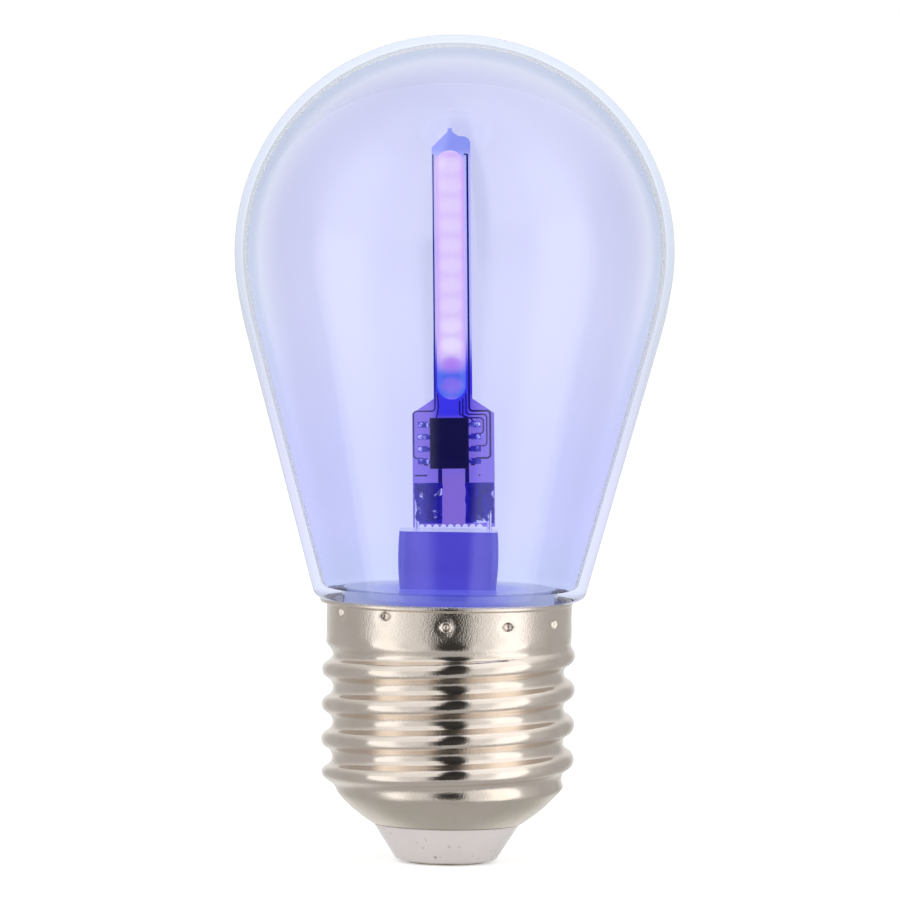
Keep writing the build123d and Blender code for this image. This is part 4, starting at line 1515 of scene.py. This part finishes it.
def make_floor():
    material, graph, sockets = new_material(
        "floor_white", (0.88, 0.88, 0.88, 1.0), Roughness=0.9, Specular_IOR_Level=0.0
    )
    glow = 0.42
    graph.feed(sockets["Emission Color"], WHITE)
    graph.feed(sockets["Emission Strength"], seen_rays(graph) * glow)
    graph.feed(sockets["Alpha"], 1.0 - reflected(graph))
    size = 6.0
    points = [(-size, -size, 0), (size, -size, 0), (size, size, 0), (-size, size, 0)]
    floor = stage_object("floor", points, [(0, 1, 2, 3)], material)
    floor.visible_glossy = False


def make_lamps(stage):
    """Two tall softboxes at the sides and one overhead."""
    aim = Vector((0, 0, stage.tent_level))
    for name, azimuth, elevation, away, width, height, power in (
        ("softbox_left", -63, 12, 1.0, 0.44, 1.1, 5.2),
        ("softbox_right", 61, 14, 1.0, 0.5, 1.0, 4.6),
        ("softbox_top", 20, 78, 1.1, 0.7, 0.7, 2.0),
    ):
        data = bpy.data.lights.new(name, "AREA")
        data.shape = "RECTANGLE"
        data.size = width
        data.size_y = height
        data.energy = power * stage.softbox
        lamp = bpy.data.objects.new(name, data)
        bpy.context.scene.collection.objects.link(lamp)
        turn = math.radians(azimuth)
        lift = math.radians(elevation)
        flat = math.cos(lift)
        back = Vector((math.sin(turn) * flat, -math.cos(turn) * flat, math.sin(lift)))
        lamp.location = aim + back * away
        lamp.rotation_mode = "QUATERNION"
        lamp.rotation_quaternion = (-back).to_track_quat("-Z", "Y")
        lamp.visible_glossy = False
        lamp.visible_transmission = False


# Light levels of the studio by azimuth in degrees, 0 in front of the bulb.
TENT_HIGH = (
    (-180, 0.88),
    (-163, 0.84),
    (-146, 0.70),
    (-104, 0.68),
    (-84, 0.86),
    (-60, 0.98),
    (-30, 0.86),
    (22, 0.95),
    (45, 1.10),
    (84, 1.22),
    (104, 1.05),
    (146, 1.00),
    (163, 0.92),
    (180, 0.88),
)
TENT_LOW = (
    (-180, 0.88),
    (-163, 0.80),
    (-146, 0.52),
    (-110, 0.44),
    (-79, 0.46),
    (-76, 1.20),
    (-54, 1.20),
    (-42, 0.76),
    (0, 0.66),
    (39, 0.84),
    (50, 1.30),
    (77, 1.30),
    (81, 0.60),
    (110, 0.44),
    (146, 0.46),
    (163, 0.76),
    (180, 0.88),
)


def make_tent(stage):
    """The studio as the gloss sees it: bright above, two tall lights and a dark gap below."""
    middle = stage.tent_level
    half_section = arc((0, middle), stage.tent, -89.9, 89.9, 32)
    points, faces = turned_points(half_section, 64, closed=False)
    material, graph, sockets = new_material("studio_tent", BLACK, Specular_IOR_Level=0.0)
    across, depth, height = object_place(graph)
    degree = 180 / math.pi
    lift = ((height - middle) / stage.tent).math("ARCSINE") * degree
    turn = across.math("ARCTAN2", depth * -1.0) * degree
    high = tent_ramp(graph, turn, TENT_HIGH)
    low = tent_ramp(graph, turn, TENT_LOW)
    beside = between(turn.math("ABSOLUTE"), 72.0, 95.0)
    horizon = 9.5 + 8.0 * between(turn, -20.0, 20.0) + 18.0 * beside
    softness = 4.0 + 16.0 * beside
    above = between((lift - horizon) / softness, -1.0, 1.0)
    level = choose(above, high, low)
    front = between(turn, -70.0, 0.0) * between(turn, 60.0, 0.0)
    ground = 0.44 - 0.04 * front
    level = choose(between(lift, -40.0, -60.0), ground, level)
    high_gap = between(turn, -14.0, -5.0) * between(turn, 22.0, 16.0)
    high_gap = high_gap * between(lift, 86.0, 66.0)
    low_gap = 0.97 * between(turn, -24.0, -7.0) * between(turn, 23.0, 14.0)
    low_gap = low_gap * between(lift, -52.0, -36.0)
    gap = choose(above, high_gap, low_gap)
    sockets["Emission Color"].default_value = WHITE
    graph.feed(sockets["Emission Strength"], level * (1.0 - 0.97 * gap))
    graph.feed(sockets["Alpha"], reflected(graph))
    tent = stage_object("studio_tent", points, faces, material)
    for kind in ("camera", "diffuse", "shadow"):
        setattr(tent, "visible_" + kind, False)


def tent_ramp(graph, turn, levels):
    """A level all round, from pairs of azimuth and level."""
    ramp = graph.add("ShaderNodeValToRGB", {"Fac": turn / 360.0 + 0.5})
    stops = ramp.color_ramp.elements
    stops.remove(stops[0])
    for i, (azimuth, level) in enumerate(levels):
        position = azimuth / 360 + 0.5
        stop = stops.new(position) if i else stops[0]
        stop.position = position
        stop.color = (level / 2, level / 2, level / 2, 1.0)
    return graph.number(ramp.outputs[0]) * 2.0


class BULB_PT_panel(bpy.types.Panel):
    """Sizes, colours and steps of the bulb"""

    bl_idname = "BULB_PT_panel"
    bl_label = "LED globe bulb"
    bl_space_type = "VIEW_3D"
    bl_region_type = "UI"
    bl_category = "Bulb"

    def draw(self, context):
        layout = self.layout
        for operator in OPERATORS:
            layout.operator(operator.bl_idname)
        for name, group in GROUPS.items():
            box = layout.box()
            box.label(text=group.__doc__)
            for item in group.__annotations__:
                box.prop(getattr(context.scene, name), item)


OPERATORS = (
    BULB_OT_stage,
    BULB_OT_globe,
    BULB_OT_screw_cap,
    BULB_OT_base,
    BULB_OT_board,
    BULB_OT_chip_strip,
    BULB_OT_driver,
    BULB_OT_solder_and_wires,
    BULB_OT_stem,
    BULB_OT_cap_inside,
)


def register():
    for group in GROUPS.values():
        bpy.utils.register_class(group)
    for name, group in GROUPS.items():
        setattr(bpy.types.Scene, name, bpy.props.PointerProperty(type=group))
    for operator in OPERATORS:
        bpy.utils.register_class(operator)
    bpy.utils.register_class(BULB_PT_panel)


def unregister():
    bpy.utils.unregister_class(BULB_PT_panel)
    for operator in reversed(OPERATORS):
        bpy.utils.unregister_class(operator)
    for name, group in GROUPS.items():
        delattr(bpy.types.Scene, name)
        bpy.utils.unregister_class(group)


def main():
    register()
    bpy.ops.bulb.stage()
    bpy.ops.bulb.globe()
    bpy.ops.bulb.screw_cap()
    bpy.ops.bulb.base()
    bpy.ops.bulb.board()
    bpy.ops.bulb.chip_strip()
    bpy.ops.bulb.driver()
    bpy.ops.bulb.solder_and_wires()
    bpy.ops.bulb.stem()
    bpy.ops.bulb.cap_inside()


if __name__ == "__main__":
    main()
